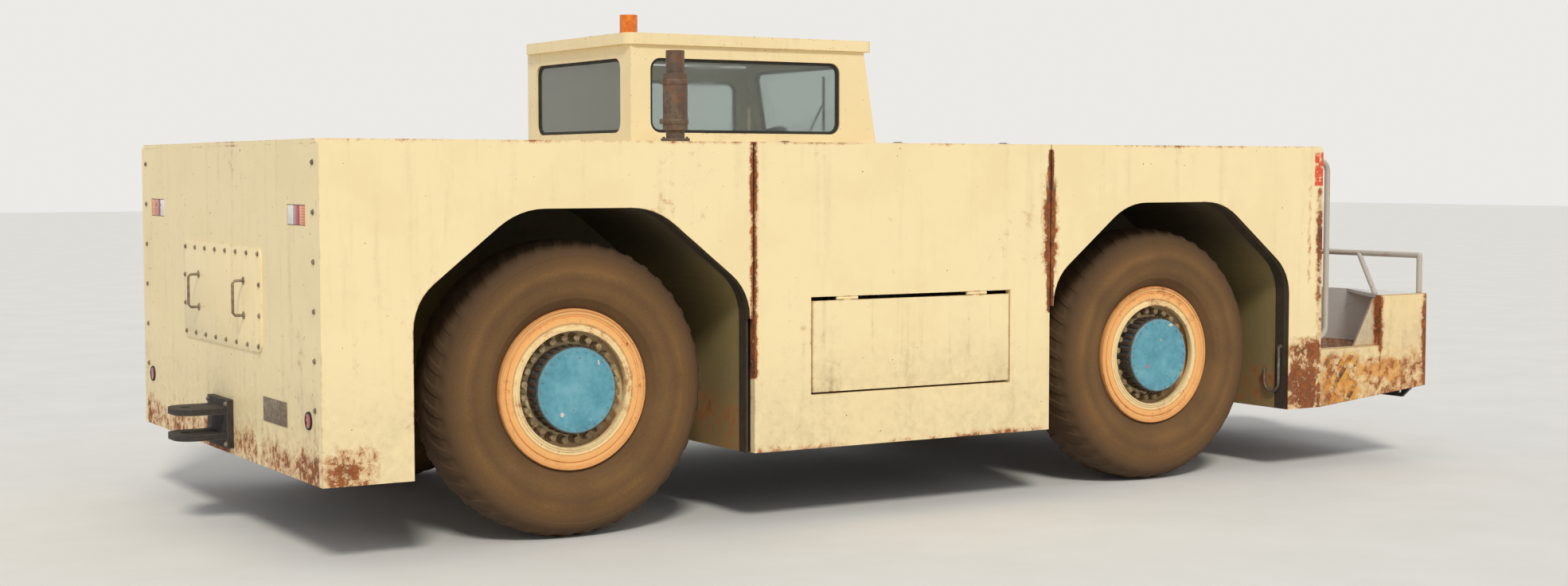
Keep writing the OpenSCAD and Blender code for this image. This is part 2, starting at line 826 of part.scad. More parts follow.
// White bumper plate, with two slots over the coupler, a shallow seat for the number plate
// and a corner gusset at each end of its top
module bumper_plate() {
    x = x_bumper - bumper_t;
    color("gainsboro") {
        difference() {
            box(x, x_bumper, -inner_y, inner_y, bumper_low, bumper_top);
            both_sides() box(x_bumper - slot_d, x_bumper + 1, slot_y - slot_w / 2, slot_y + slot_w / 2,
                plate_low, plate_low + slot_h);
            box(x_bumper - 2, x_bumper + 1, -sign_y - sign_w, -sign_y, plate_low, plate_low + sign_h);
        }
        both_sides() slab_z(bumper_top - plate_t, bumper_top)
            polygon([[x, inner_y], [x, inner_y - corner_w], [x_bumper - post_l, inner_y]]);
    }
}

// Lower band: perforated step plates at the ends, plain panels beside the coupler
module lower_band() {
    x0 = x_bumper - bumper_t;
    y0 = hitch_w / 2 + 50;
    y1 = y0 + panel_w + 5;
    chamfer = 100;
    rise = 90;
    rows = floor((bumper_low - skirt_z - edge_w) / hole_pitch);
    rim = 0.6 * edge_w;
    count = floor((inner_y - y1 - 2 * edge_w) / hole_pitch);
    color("lightgray") both_sides() {
        slab_x(x0, x0 + plate_t) difference() {
            polygon([[y1, skirt_z], [inner_y - chamfer, skirt_z], [inner_y, skirt_z + rise],
                [inner_y, bumper_low], [y1, bumper_low]]);
            for (j = [0:rows], i = [0:count]) {
                y = y1 + edge_w + hole_pitch * (i + (j % 2) / 2);
                z = edge_w - 5 + hole_pitch * j;
                if (y < inner_y - rim && y < inner_y - chamfer * (1 - z / rise) - rim)
                    translate([y, skirt_z + z]) circle(d = hole_d);
            }
        }
        slab_x(x0, x0 + plate_t) translate([y0, skirt_z]) square([panel_w, bumper_low - skirt_z]);
    }
}

// Straight tube from p to q
module strut(r, p, q) {
    d = q - p;
    translate(p) rotate([0, acos(d[2] / norm(d)), atan2(d[1], d[0])]) cylinder(r = r, h = norm(d));
}

// Front handrail on the bumper's upper edge, and a grab rail at each corner of the front face
module handrails() {
    x = x_bumper - bumper_t / 2;
    y = half_w - side_t;
    brace_y = inner_y - corner_w + 70;
    color("silver") {
        translate([x, 0, rail_z]) rod_y(tube_d / 2, -y, y);
        both_sides() {
            for (post_y = [y, 0.28 * y]) translate([x, post_y, 0]) rod_z(tube_d / 2, bumper_top, rail_z);
            translate([x, y, rail_z]) sphere(r = tube_d / 2);
            intersection() {
                strut(brace_r, [x, brace_y, rail_z],
                    [x_bumper - post_l + 40, inner_y - 2 * brace_r, bumper_top - plate_t]);
                box(x - post_l, x + 1, brace_y - 90, inner_y, bumper_top, rail_z + tube_d);
            }
            grab_rail();
        }
    }
}

// Upright tube bent towards the body at its two ends
module grab_rail() {
    half = (plate_z - 60 - floor_z - 80) / 2;
    translate([x_face + grab_out, inner_y - grab_in, floor_z + 80 + half]) {
        rod_z(grab_r, grab_bend - half, half - grab_bend);
        for (m = [0, 1]) mirror([0, 0, m]) {
            translate([-grab_bend, 0, half - grab_bend]) rotate([90, 0, 0])
                rotate_extrude(angle = 90) translate([grab_bend, 0]) circle(r = grab_r);
            translate([0, 0, half]) rod_x(grab_r, -grab_out, -grab_bend);
        }
    }
}

// Front coupler: stacked shelves between two gusset plates, bored for the drawbar pin,
// with a forked brace on each side
module hitch_front() {
    x0 = x_bumper - bumper_t;
    x1 = x_bumper + front_reach;
    top = shelf_z + shelf_pitch * (shelf_n - 1) + shelf_t;
    half = hitch_w / 2;
    color("chocolate") difference() {
        union() {
            for (i = [0:shelf_n - 1]) translate([0, 0, shelf_z + shelf_pitch * i])
                slab_z(0, shelf_t) polygon(rounded([[x_bumper, -half, 0],
                    [x1, -half, nose_r], [x1, half, nose_r], [x_bumper, half, 0]]));
            both_sides() {
                slab_y(half - shelf_t, half) {
                    polygon([[x_bumper, shelf_z], [x1 - 200, shelf_z], [x1 - 200, top], [x_bumper, top]]);
                    polygon([[x0, belly_z], [x_bumper, belly_z], [x_bumper, bumper_low], [x0, bumper_low]]);
                }
                slab_x(x_bumper - plate_t, x_bumper + plate_t) hitch_brace(half);
            }
        }
        translate([x1 - pin_in, 0, 0]) rod_z(pin_d / 2, shelf_z - 1, bumper_low + 100);
    }
}

// Outline of the forked brace in Y and Z: two legs that spread from the bumper's lower edge
module hitch_brace(y) {
    polygon([[y - 10, skirt_z], [y + 70, bumper_low], [y + 105, bumper_low], [y + 200, skirt_z],
        [y + 155, skirt_z], [y + 88, bumper_low - 70], [y + 36, skirt_z]]);
}

// Rear coupler: two shelves on a base plate
module hitch_rear() {
    x0 = x_tail - rear_reach;
    half = hitch_w / 2 - 20;
    color("dimgray") difference() {
        union() {
            for (z = [rear_low, rear_low + rear_gap + shelf_t])
                slab_z(z, z + shelf_t) polygon(rounded([[x_tail, -half, 0], [x0, -half, nose_r],
                    [x0, half, nose_r], [x_tail, half, 0]]));
            box(x_tail - shelf_t, x_tail, -half - 30, half + 30, rear_low - 40,
                rear_low + rear_gap + 2 * shelf_t + 40);
        }
        translate([x0 + pin_in, 0, 0]) rod_z(pin_d / 2, rear_low - 1, rear_low + rear_gap + 2 * shelf_t + 1);
    }
}

// Side view of the cab above its floor
module cab_outline(g) {
    polygon([[cab_x0 + g, cab_floor_z], [cab_x1 - g, cab_floor_z], [cab_x1 - g, deck_z],
        [cab_x1 - cab_slope - g, roof_z + 1], [cab_x0 + g, roof_z + 1]]);
}

module cab_shell() {
    color(cream) difference() {
        intersection() {
            slab_y(cab_y, half_w) cab_outline(0);
            union() {
                box(cab_x0, cab_x1, cab_y, inner_y, cab_floor_z, deck_z);
                box(cab_x0, cab_x1, cab_y, half_w, deck_z, roof_z);
            }
        }
        intersection() {
            slab_y(cab_y + wall_t, inner_y) cab_outline(wall_t);
            box(cab_x0, cab_x1, cab_y, half_w, cab_inside_z, roof_z + 10);
        }
        box(cab_x0 + wall_t, cab_x1 - wall_t, inner_y - 1, inner_y + 1, cab_inside_z, deck_z);
        box(door_x0 - door_gap, door_x1 + 2 * door_gap, inner_y - 1, half_w + 1,
            deck_z - 1, door_top + door_gap);
        slab_x(cab_x0 - 1, cab_x0 + wall_t + 1) end_window();
        slab_y(cab_y - 1, cab_y + wall_t + 1) side_window();
        slab_x(cab_x1 - cab_slope - 100, cab_x1 + 1) end_window();
    }
    color(cream) door_pins(door_top - hinge_drop);
}

// Window outlines: at the cab's two ends in Y and Z, and in its inner side wall in X and Z
module end_window() {
    polygon(rounded(rect_rows(cab_y + 120, inner_y - 80, glass_z0, glass_z1, window_r)));
}

module side_window() {
    polygon(rounded(rect_rows(cab_x0 + 120, cab_x1 - 250, glass_z0, glass_z1, window_r)));
}

module door_window() {
    polygon(rounded(rect_rows(door_x0 + door_rim, door_x1 - door_rim,
        glass_z0 - 20, door_top - 90, window_r)));
}

// Panes of the fixed windows; the front one slopes with the wall
module cab_glass() {
    k = cab_slope / (roof_z - deck_z);
    xa = cab_x1 - 25 - k * (glass_z0 - deck_z);
    xb = cab_x1 - 25 - k * (glass_z1 - deck_z);
    color("lightblue") {
        slab_x(cab_x0 + pane_in, cab_x0 + pane_in + glass_t) end_window();
        slab_y(cab_y + pane_in, cab_y + pane_in + glass_t) side_window();
        intersection() {
            slab_y(cab_y, inner_y)
                polygon([[xa, glass_z0], [xa + glass_t, glass_z0], [xb + glass_t, glass_z1], [xb, glass_z1]]);
            slab_x(xb - 1, xa + glass_t + 1) end_window();
        }
    }
}

module cab_roof() {
    color(cream) slab_z(roof_z, roof_z + roof_t)
        polygon(rounded(rect_rows(cab_x0 - 30, cab_x1 - cab_slope + 60, cab_y - 20, half_w, 60)));
}

// Cab door: window cut, hollow pan below it, and the moving half of its two hinges
module cab_door() {
    z0 = cab_floor_z + 5;
    color(cream) {
        difference() {
            box(door_x0, door_x1, inner_y, half_w, z0, door_top);
            slab_y(inner_y - 1, half_w + 1) door_window();
            slab_y(inner_y - 1, half_w - skin_t)
                polygon(rounded(rect_rows(door_x0 + 60, door_x1 - 60, z0 + 60, glass_z0 - 100, 40)));
        }
        for (z = [cab_floor_z + hinge_drop, door_top - hinge_drop])
            translate([door_x1 + door_gap, hinge_y, z]) {
                rotate([0, -90, 0]) barrel_x(hinge_l);
                difference() {
                    box(-door_gap, 0, -4, 4, run - hinge_l / 6, hinge_l / 6 - run);
                    rod_z(barrel_r / 2 + fit, -hinge_l, hinge_l);
                }
            }
    }
}

module door_glass() {
    color("lightblue") slab_y(inner_y + pane_in, inner_y + pane_in + glass_t) door_window();
}

// Seat frame on its box, with the back's steel pan
module cab_seat() {
    color("dimgray") translate([seat_x, seat_y, cab_inside_z]) {
        box(2 * pan_t - seat_l / 2, seat_l / 2 - 2 * pan_t, 3 * pan_t - seat_w / 2, seat_w / 2 - 3 * pan_t,
            0, seat_h);
        box(-seat_l / 2 - pan_t / 2, -seat_l / 2 + pan_t / 2, cushion_t - seat_w / 2, seat_w / 2 - cushion_t,
            seat_h, seat_h + back_h);
        box(-seat_l / 2 - pan_t / 2, seat_l / 2 - pan_t / 2, -seat_w / 2, seat_w / 2, seat_h, seat_h + pan_t);
    }
}

// Cushions of the seat and its back
module seat_cushions() {
    base = seat_h + pan_t + cushion_gap;
    color("black") translate([seat_x, seat_y, cab_inside_z]) {
        box(cushion_t + pan_t - seat_l / 2, seat_l / 2, -seat_w / 2, seat_w / 2, base, base + cushion_t);
        box(pan_t / 2 + cushion_gap - seat_l / 2, cushion_t - seat_l / 2 + 15, -seat_w / 2, seat_w / 2,
            base + pan_t, base + back_h + cushion_t);
    }
}

// Console with the steering column and wheel
module cab_console() {
    x = cab_x1 - wall_t;
    z = cab_inside_z;
    grip_r = 16;
    color("dimgray") {
        box(x - console_l, x, cab_y + wall_t, inner_y - 60, z + console_z, z + console_z + 250);
        translate([x - console_l + 30, seat_y, z + console_z + 50]) rotate([0, -column_tilt, 0]) {
            rod_z(30, 0, column_l);
            translate([0, 0, column_l]) rotate_extrude() translate([steer_r, 0]) circle(r = grip_r, $fn = 16);
            rod_z(50, column_l - 15, column_l + 15);
            for (a = [90, 210, 330]) rotate([0, 0, a]) box(0, steer_r, -15, 15, column_l - 6, column_l + 6);
        }
    }
}

// Headlamps, tail lamps, front marker lamps and the beacon
module lamps() {
    marker_y = inner_y - 80;
    marker_w = 60;
    beacon_z = roof_z + roof_t;
    color("darkorange") {
        slab_x(x_face - face_t, x_face - 6) headlamp_outline();
        slab_x(x_tail + 6, x_tail + tail_t) tail_lamp_outline();
        both_sides() box(x_face, x_face + marker_w / 2, marker_y - marker_w, marker_y,
            deck_z - 2 * marker_w, deck_z - marker_w);
        translate([cab_x0 + 300, (cab_y + half_w) / 2 - 50, beacon_z]) {
            rod_z(60, 0, 30);
            rod_z(50, 30, 140);
        }
    }
}

// Exhaust pipe with its silencer, on a flange
module exhaust() {
    bore = exhaust_r - 7;
    color("gray") translate([x_seam_rear - 200, exhaust_in - inner_y, deck_z]) difference() {
        union() {
            rod_z(exhaust_r + 25, 0, 20);
            rod_z(exhaust_r, 0, exhaust_h);
            rod_z(exhaust_r + 15, 60, exhaust_h - 110);
        }
        rod_z(bore, 30, exhaust_h + 1);
    }
}

frame();
wheel_wells();
engine();
axle_front();
axle_rear();
knuckle_left();
knuckle_right();
tie_rod();
color("#332d28") at_wheel(x_front, 1) tyre();  // tyre_front_left
color("#332d28") at_wheel(x_front, -1) tyre();  // tyre_front_right
color("#332d28") at_wheel(x_rear, 1) tyre();  // tyre_rear_left
color("#332d28") at_wheel(x_rear, -1) tyre();  // tyre_rear_right
color(cream) at_wheel(x_front, 1) rim();  // rim_front_left
color(cream) at_wheel(x_front, -1) rim();  // rim_front_right
color(cream) at_wheel(x_rear, 1) rim();  // rim_rear_left
color(cream) at_wheel(x_rear, -1) rim();  // rim_rear_right
color("#5fa5b9") at_wheel(x_front, 1) hub();  // hub_front_left
color("#5fa5b9") at_wheel(x_front, -1) hub();  // hub_front_right
color("#5fa5b9") at_wheel(x_rear, 1) hub();  // hub_rear_left
color("#5fa5b9") at_wheel(x_rear, -1) hub();  // hub_rear_right
side_front();
side_mid();
side_rear();
deck_front();
deck_mid();
deck_rear();
front_face();
front_grille();
tail_plate();
platform_floor();
platform_sides();
bumper_plate();
lower_band();
handrails();
hitch_front();
hitch_rear();
engine_hood();
side_hatch();
cab_shell();
cab_roof();
cab_glass();
cab_door();
door_glass();
cab_seat();
seat_cushions();
cab_console();
lamps();
exhaust();
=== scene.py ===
"""Aircraft pushback tractor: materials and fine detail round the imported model, in metres."""
import math
import random
from functools import reduce
from itertools import product

import bmesh
import bpy
from mathutils import Matrix, Vector
from mathutils.bvhtree import BVHTree


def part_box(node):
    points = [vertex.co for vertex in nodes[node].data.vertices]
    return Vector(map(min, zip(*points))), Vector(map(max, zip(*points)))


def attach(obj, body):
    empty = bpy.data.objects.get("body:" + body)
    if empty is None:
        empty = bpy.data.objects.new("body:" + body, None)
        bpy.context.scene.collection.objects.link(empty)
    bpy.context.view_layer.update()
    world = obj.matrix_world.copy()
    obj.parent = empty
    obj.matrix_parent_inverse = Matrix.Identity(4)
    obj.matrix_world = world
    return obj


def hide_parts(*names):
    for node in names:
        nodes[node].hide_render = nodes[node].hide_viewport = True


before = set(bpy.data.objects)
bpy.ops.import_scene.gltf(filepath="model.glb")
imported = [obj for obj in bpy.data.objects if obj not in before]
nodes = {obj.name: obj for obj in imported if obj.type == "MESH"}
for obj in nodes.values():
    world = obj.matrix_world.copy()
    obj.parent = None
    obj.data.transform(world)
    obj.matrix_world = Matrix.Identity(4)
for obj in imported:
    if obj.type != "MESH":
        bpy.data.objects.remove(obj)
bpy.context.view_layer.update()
scene = bpy.context.scene
random.seed(11)

# Places taken from the frame
side_low, side_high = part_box("side_front")
mid_low, mid_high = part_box("side_mid")
bumper_low, bumper_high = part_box("bumper_plate")
grille_low, grille_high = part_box("front_grille")
floor_low, floor_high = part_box("platform_floor")
cab_low, cab_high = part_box("cab_shell")
door_low, door_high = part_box("cab_door")
half_w, deck_z, skirt_z = side_high.y, side_high.z, side_low.z
inner_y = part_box("deck_front")[1].y
x_bumper, x_post = bumper_high.x, bumper_low.x
x_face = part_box("front_face")[1].x
x_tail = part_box("tail_plate")[0].x
x_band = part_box("lower_band")[1].x
floor_z = floor_high.z
roof_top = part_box("cab_roof")[1].z
shelf_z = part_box("hitch_front")[0].z
seam_front = (side_low.x + mid_high.x) / 2
seam_rear = (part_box("side_rear")[1].x + mid_low.x) / 2
wheels = {}
for corner in ("front_left", "front_right", "rear_left", "rear_right"):
    low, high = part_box("tyre_" + corner)
    wheels[corner] = ((low + high) / 2, 1 if corner.endswith("left") else -1)
tyre_low, tyre_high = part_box("tyre_front_left")
tyre_r = (tyre_high.z - tyre_low.z) / 2
x_front, x_rear = wheels["front_left"][0].x, wheels["rear_left"][0].x

# Sizes of the source that no box gives
ARCH_HALF, ARCH_TOP = 0.84, 1.517
SHELF_HALF, SHELF_PITCH, SHELF_T = 0.15, 0.09, 0.03
STEP_Y, STEP_EDGE, HOLE_PITCH, HOLE_R = 0.56, 0.04, 0.058, 0.017
HEAD_Z, HEAD_W, HEAD_H, HEAD_IN = 0.94, 0.22, 0.13, 0.09
TAIL_Z, TAIL_W, TAIL_H, TAIL_IN = 1.45, 0.24, 0.09, 0.14
SIGN_Y, SIGN_W, SIGN_H, SLOT_Y, SLOT_W, SLOT_H = 0.77, 0.41, 0.12, 0.16, 0.044, 0.08
CAB_SLOPE, WINDOW_R = 0.09, 0.06
z_under = skirt_z - 0.05
glass_z0, glass_z1 = deck_z + 0.07, cab_high.z - 0.07
AHEAD, ASTERN, UP = (1, 0, 0), (-1, 0, 0), (0, 0, 1)


def lin(code):
    """Linear colour of an sRGB hex code."""
    parts = [int(code[i:i + 2], 16) / 255 for i in (0, 2, 4)]
    return [c / 12.92 if c <= 0.04045 else ((c + 0.055) / 1.055) ** 2.4 for c in parts] + [1]


# Materials

class Value:
    """A number that a material's nodes work out. Arithmetic on it adds nodes."""

    def __init__(self, n, socket):
        self.n, self.socket = n, socket

    def __add__(self, other):
        return self.n.math("ADD", self, other)

    def __sub__(self, other):
        return self.n.math("SUBTRACT", self, other)

    def __mul__(self, other):
        return self.n.math("MULTIPLY", self, other)

    def __lt__(self, other):
        return self.n.math("LESS_THAN", self, other)

    def __gt__(self, other):
        return self.n.math("GREATER_THAN", self, other)

    def __abs__(self):
        return self.n.math("ABSOLUTE", self)


class Nodes:
    """Builds one procedural material, with sizes in metres."""

    def __init__(self, name):
        self.mat = bpy.data.materials.new(name)
        self.mat.use_nodes = True
        self.tree = self.mat.node_tree
        self.bsdf = self.tree.nodes["Principled BSDF"]
        self.pos = self.new("ShaderNodeTexCoord").outputs["Object"]
        split = self.new("ShaderNodeSeparateXYZ", {"Vector": self.pos})
        self.x, self.y, self.z = (Value(self, out) for out in split.outputs)

    def put(self, socket, value):
        value = getattr(value, "socket", value)
        if isinstance(value, bpy.types.NodeSocket):
            self.tree.links.new(value, socket)
        else:
            socket.default_value = value

    def new(self, kind, inputs=None, **options):
        node = self.tree.nodes.new(kind)
        for key, value in options.items():
            setattr(node, key, value)
        for key, value in (inputs or {}).items():
            self.put(node.inputs[key], value)
        return node

    def math(self, operation, a, b=0.0, clamp=False):
        node = self.new("ShaderNodeMath", {0: a, 1: b}, operation=operation, use_clamp=clamp)
        return Value(self, node.outputs[0])

    def most(self, *values):
        return reduce(lambda a, b: self.math("MAXIMUM", a, b), values)

    def stretch(self, size):
        """Object coordinates scaled by size along x, y, z."""
        return self.new("ShaderNodeMapping", {"Vector": self.pos, "Scale": size}).outputs[0]

    def noise(self, scale, detail=6.0, rough=0.6, vector=None, distort=0.0):
        node = self.new("ShaderNodeTexNoise", {
            "Vector": vector or self.pos, "Scale": scale, "Detail": detail,
            "Roughness": rough, "Distortion": distort})
        return Value(self, node.outputs["Fac"])

    def span(self, value, a, b, lo=0.0, hi=1.0):
        """Value mapped from a..b to lo..hi, smooth and clamped."""
        node = self.new("ShaderNodeMapRange", {
            "Value": value, "From Min": a, "From Max": b, "To Min": lo, "To Max": hi},
            interpolation_type="SMOOTHSTEP")
        return Value(self, node.outputs[0])

    def mix(self, factor, a, b, blend="MIX"):
        node = self.new("ShaderNodeMix", {0: factor, 6: a, 7: b}, data_type="RGBA", blend_type=blend)
        return node.outputs[2]

    def ramp(self, value, stops):
        node = self.new("ShaderNodeValToRGB", {"Fac": value})
        elements = node.color_ramp.elements
        while len(elements) < len(stops):
            elements.new(0.5)
        for element, (at, color) in zip(elements, stops):
            element.position = at
            element.color = lin(color)
        return node.outputs[0]

    def zone(self, soft, **box):
        """1 inside the (low, high) given for each axis, fading out over soft."""
        parts = [self.span(getattr(self, axis), low - soft, low + soft)
                 * self.span(getattr(self, axis), high - soft, high + soft, 1.0, 0.0)
                 for axis, (low, high) in box.items()]
        return reduce(Value.__mul__, parts)

    def edges(self, radius=0.012):
        """About 1 along convex and concave edges, 0 on flat faces."""
        bent = self.new("ShaderNodeBevel", {"Radius": radius}, samples=4).outputs[0]
        flat = self.new("ShaderNodeNewGeometry").outputs["Normal"]
        dot = self.new("ShaderNodeVectorMath", {0: bent, 1: flat}, operation="DOT_PRODUCT")
        return self.span(dot.outputs["Value"], 0.995, 0.86)

    def bump(self, height, strength, distance=0.002):
        inputs = {"Height": height, "Strength": strength, "Distance": distance}
        return self.new("ShaderNodeBump", inputs).outputs[0]

    def finish(self, color, rough, normal=None, **fixed):
        self.put(self.bsdf.inputs["Base Color"], color)
        self.put(self.bsdf.inputs["Roughness"], rough)
        if normal:
            self.put(self.bsdf.inputs["Normal"], normal)
        for key, value in fixed.items():
            self.bsdf.inputs[key.replace("_", " ")].default_value = value
        return self.mat


RUST = [(0.25, "33201a"), (0.45, "683820"), (0.6, "a05a28"), (0.78, "c58040")]


def paint(name, base, zones=(), wear=0.5, dirt=0.35, rough=0.42, pattern=None, halo=0.6, shade_and_dark_edges=None):
    """Old paint over steel. Rust comes through in the zones, halo is how strong its stain is,
    pattern gives another base colour, and the last argument says where the colour is painted near black:
    painted shade in hollows and under the arch tops, and the dark cut edges round the arches."""
    n = Nodes(name)
    coarse = n.noise(2.3, 8, 0.62)
    fine = n.noise(23, 8, 0.68, distort=0.4)
    grain = n.noise(160, 4, 0.6)
    runs = n.noise(1, 6, 0.6, n.stretch((16, 16, 1.1)))
    hot = [n.zone(soft, **box) * strength for strength, soft, box in zones]
    push = n.most(*hot, n.edges() * (0.20 * wear))
    level = coarse * 0.45 + fine * 0.4 + grain * 0.15 + push + (runs - 0.5) * 0.10
    stain = n.span(level, 0.575, 0.69)
    chips = n.span(n.noise(55, 3, 0.5), 0.735 - 0.03 * wear, 0.76 - 0.03 * wear)
    bare = n.most(n.span(level, 0.655, 0.70), chips)
    dull = n.mix(n.span(coarse, 0.35, 0.7), (0.93, 0.91, 0.88, 1), (1, 1, 1, 1))
    color = n.mix(1.0, pattern(n) if pattern else lin(base), dull, "MULTIPLY")
    streak = n.span(runs * 0.75 + fine * 0.25, 0.50, 0.80) * 0.8
    cloud = n.span(coarse, 0.50, 0.75) * 0.35
    splash = n.span(n.z, 1.0, 0.3) * n.span(coarse * 0.5 + fine * 0.5, 0.35, 0.65)
    grime = n.math("ADD", streak + cloud, splash, clamp=True) * dirt
    color = n.mix(grime, color, lin("7f6548"))
    smudge = n.span(n.noise(3.7, 4, 0.75), 0.66, 0.74) * (0.35 * dirt)
    color = n.mix(smudge, color, lin("4a4038"))
    color = n.mix(stain * halo, color, lin("b96f30"))
    color = n.mix(bare, color, n.ramp(fine * 0.7 + grain * 0.3, RUST))
    if shade_and_dark_edges:
        # Near black where painted shade falls in hollows and under the arch tops, and on the dark edges round
        # the arches.
        color = n.mix(shade_and_dark_edges(n), color, n.ramp(fine, [(0.35, "1f1b17"), (0.7, "3a3128")]))
    height = bare * (grain * 0.9 - 1.0) + coarse * 0.25
    return n.finish(color, bare * 0.4 + grime * 0.25 + rough, n.bump(height, 0.6, 0.0016))


def rusty(name, stops, dark=0.3, rough=0.8, sooty=None):
    """Bare, rusted or greasy steel. sooty says where it is black."""
    n = Nodes(name)
    coarse = n.noise(6, 8, 0.65)
    fine = n.noise(48, 8, 0.7)
    grease = n.span(n.noise(3.1, 5, 0.6), 0.5, 0.62) * dark
    color = n.mix(grease, n.ramp(coarse * 0.6 + fine * 0.4, stops), lin("1c1815"))
    if sooty:
        color = n.mix(sooty(n), color, lin("2b2724"))
    color = n.mix(n.edges(0.006) * 0.35, color, lin("9a8672"))
    return n.finish(color, grease * -0.35 + rough, n.bump(coarse * 0.5 + fine, 0.7, 0.003), Metallic=0.25)


def simple(name, dark, light, rough, scale=30, bump=0.2, **fixed):
    """A worn plain finish between two close colours."""
    n = Nodes(name)
    fine = n.noise(scale, 7, 0.65)
    wear = n.span(n.noise(scale * 0.2, 4, 0.6), 0.4, 0.65, rough - 0.06, rough + 0.1)
    return n.finish(n.ramp(fine, [(0.35, dark), (0.65, light)]), wear, n.bump(fine, bump, 0.001), **fixed)


def hazard(n, light, dark, axes, period, offset=0.0, slope=1.0):
    """Diagonal stripes across two of the object's axes."""
    a, b = (getattr(n, axis) for axis in axes)
    part = n.math("FRACT", (abs(a) + b * slope) * (1 / period) + offset)
    stripe = n.span(part, 0.0, 0.03) * n.span(part, 0.5, 0.53, 1.0, 0.0)
    return n.mix(stripe, lin(dark), lin(light))


def near(at, reach):
    """The span that reaches as far to both sides of a place."""
    return at - reach, at + reach


def rust(strength, soft, **box):
    """A zone where rust comes through the paint."""
    return strength, soft, box


# Shapes

def circle(radius, count, turn=0.0):
    """Points round a circle."""
    angles = [2 * math.pi * i / count + turn for i in range(count)]
    return [(radius * math.cos(a), radius * math.sin(a)) for a in angles]


def oblong(u0, v0, u1, v1, radius, steps=5):
    """The outline of a rectangle with rounded corners, from its lower left corner on."""
    outline = []
    corners = ((u0, v0, -1, -1), (u1, v0, 1, -1), (u1, v1, 1, 1), (u0, v1, -1, 1))
    for k, (u, v, right, up) in enumerate(corners):
        for i in range(steps + 1):
            t = abs(k % 2 - i / steps)
            long = math.hypot(1 - t, t)
            outline.append((u + right * radius * ((1 - t) / long - 1), v + up * radius * (t / long - 1)))
    return outline


def row(count, pitch):
    """Places along a row that is centred on 0."""
    return [pitch * (i - (count - 1) / 2) for i in range(count)]


def lattice(rows, columns, rows_meet=True, columns_meet=True):
    """Faces between rows of points. Each way the last ones meet the first, unless told otherwise."""
    faces = []
    for i in range(rows if rows_meet else rows - 1):
        for j in range(columns if columns_meet else columns - 1):
            a, b, c = i * columns, (i + 1) % rows * columns, (j + 1) % columns
            faces.append((a + j, a + c, b + c, b + j))
    return faces


def placer(origin, axes="xyz"):
    """Puts (u, v, w) beside an origin, along three axes. A capital letter points backwards."""
    spots = ["xyz".index(axis.lower()) for axis in axes]
    signs = [-1 if axis.isupper() else 1 for axis in axes]

    def place(*steps):
        point = list(origin)
        for spot, sign, step in zip(spots, signs, steps):
            point[spot] += sign * step
        return Vector(point)
    return place


def baked(obj):
    """Applies the object's modifiers to its mesh and takes them off."""
    bpy.context.view_layer.update()
    graph = bpy.context.evaluated_depsgraph_get()
    mesh = bpy.data.meshes.new_from_object(obj.evaluated_get(graph))
    obj.modifiers.clear()
    obj.data = mesh


def shade(obj, angle):
    """Smooth shading, with the edges sharper than angle left sharp."""
    mesh = obj.data
    mesh.polygons.foreach_set("use_smooth", [True] * len(mesh.polygons))
    mesh.set_sharp_from_angle(angle=math.radians(angle))
    mesh.update()


def dress(material, *names):
    """Gives nodes of the frame one material."""
    for name in names:
        nodes[name].data.materials.clear()
        nodes[name].data.materials.append(material)


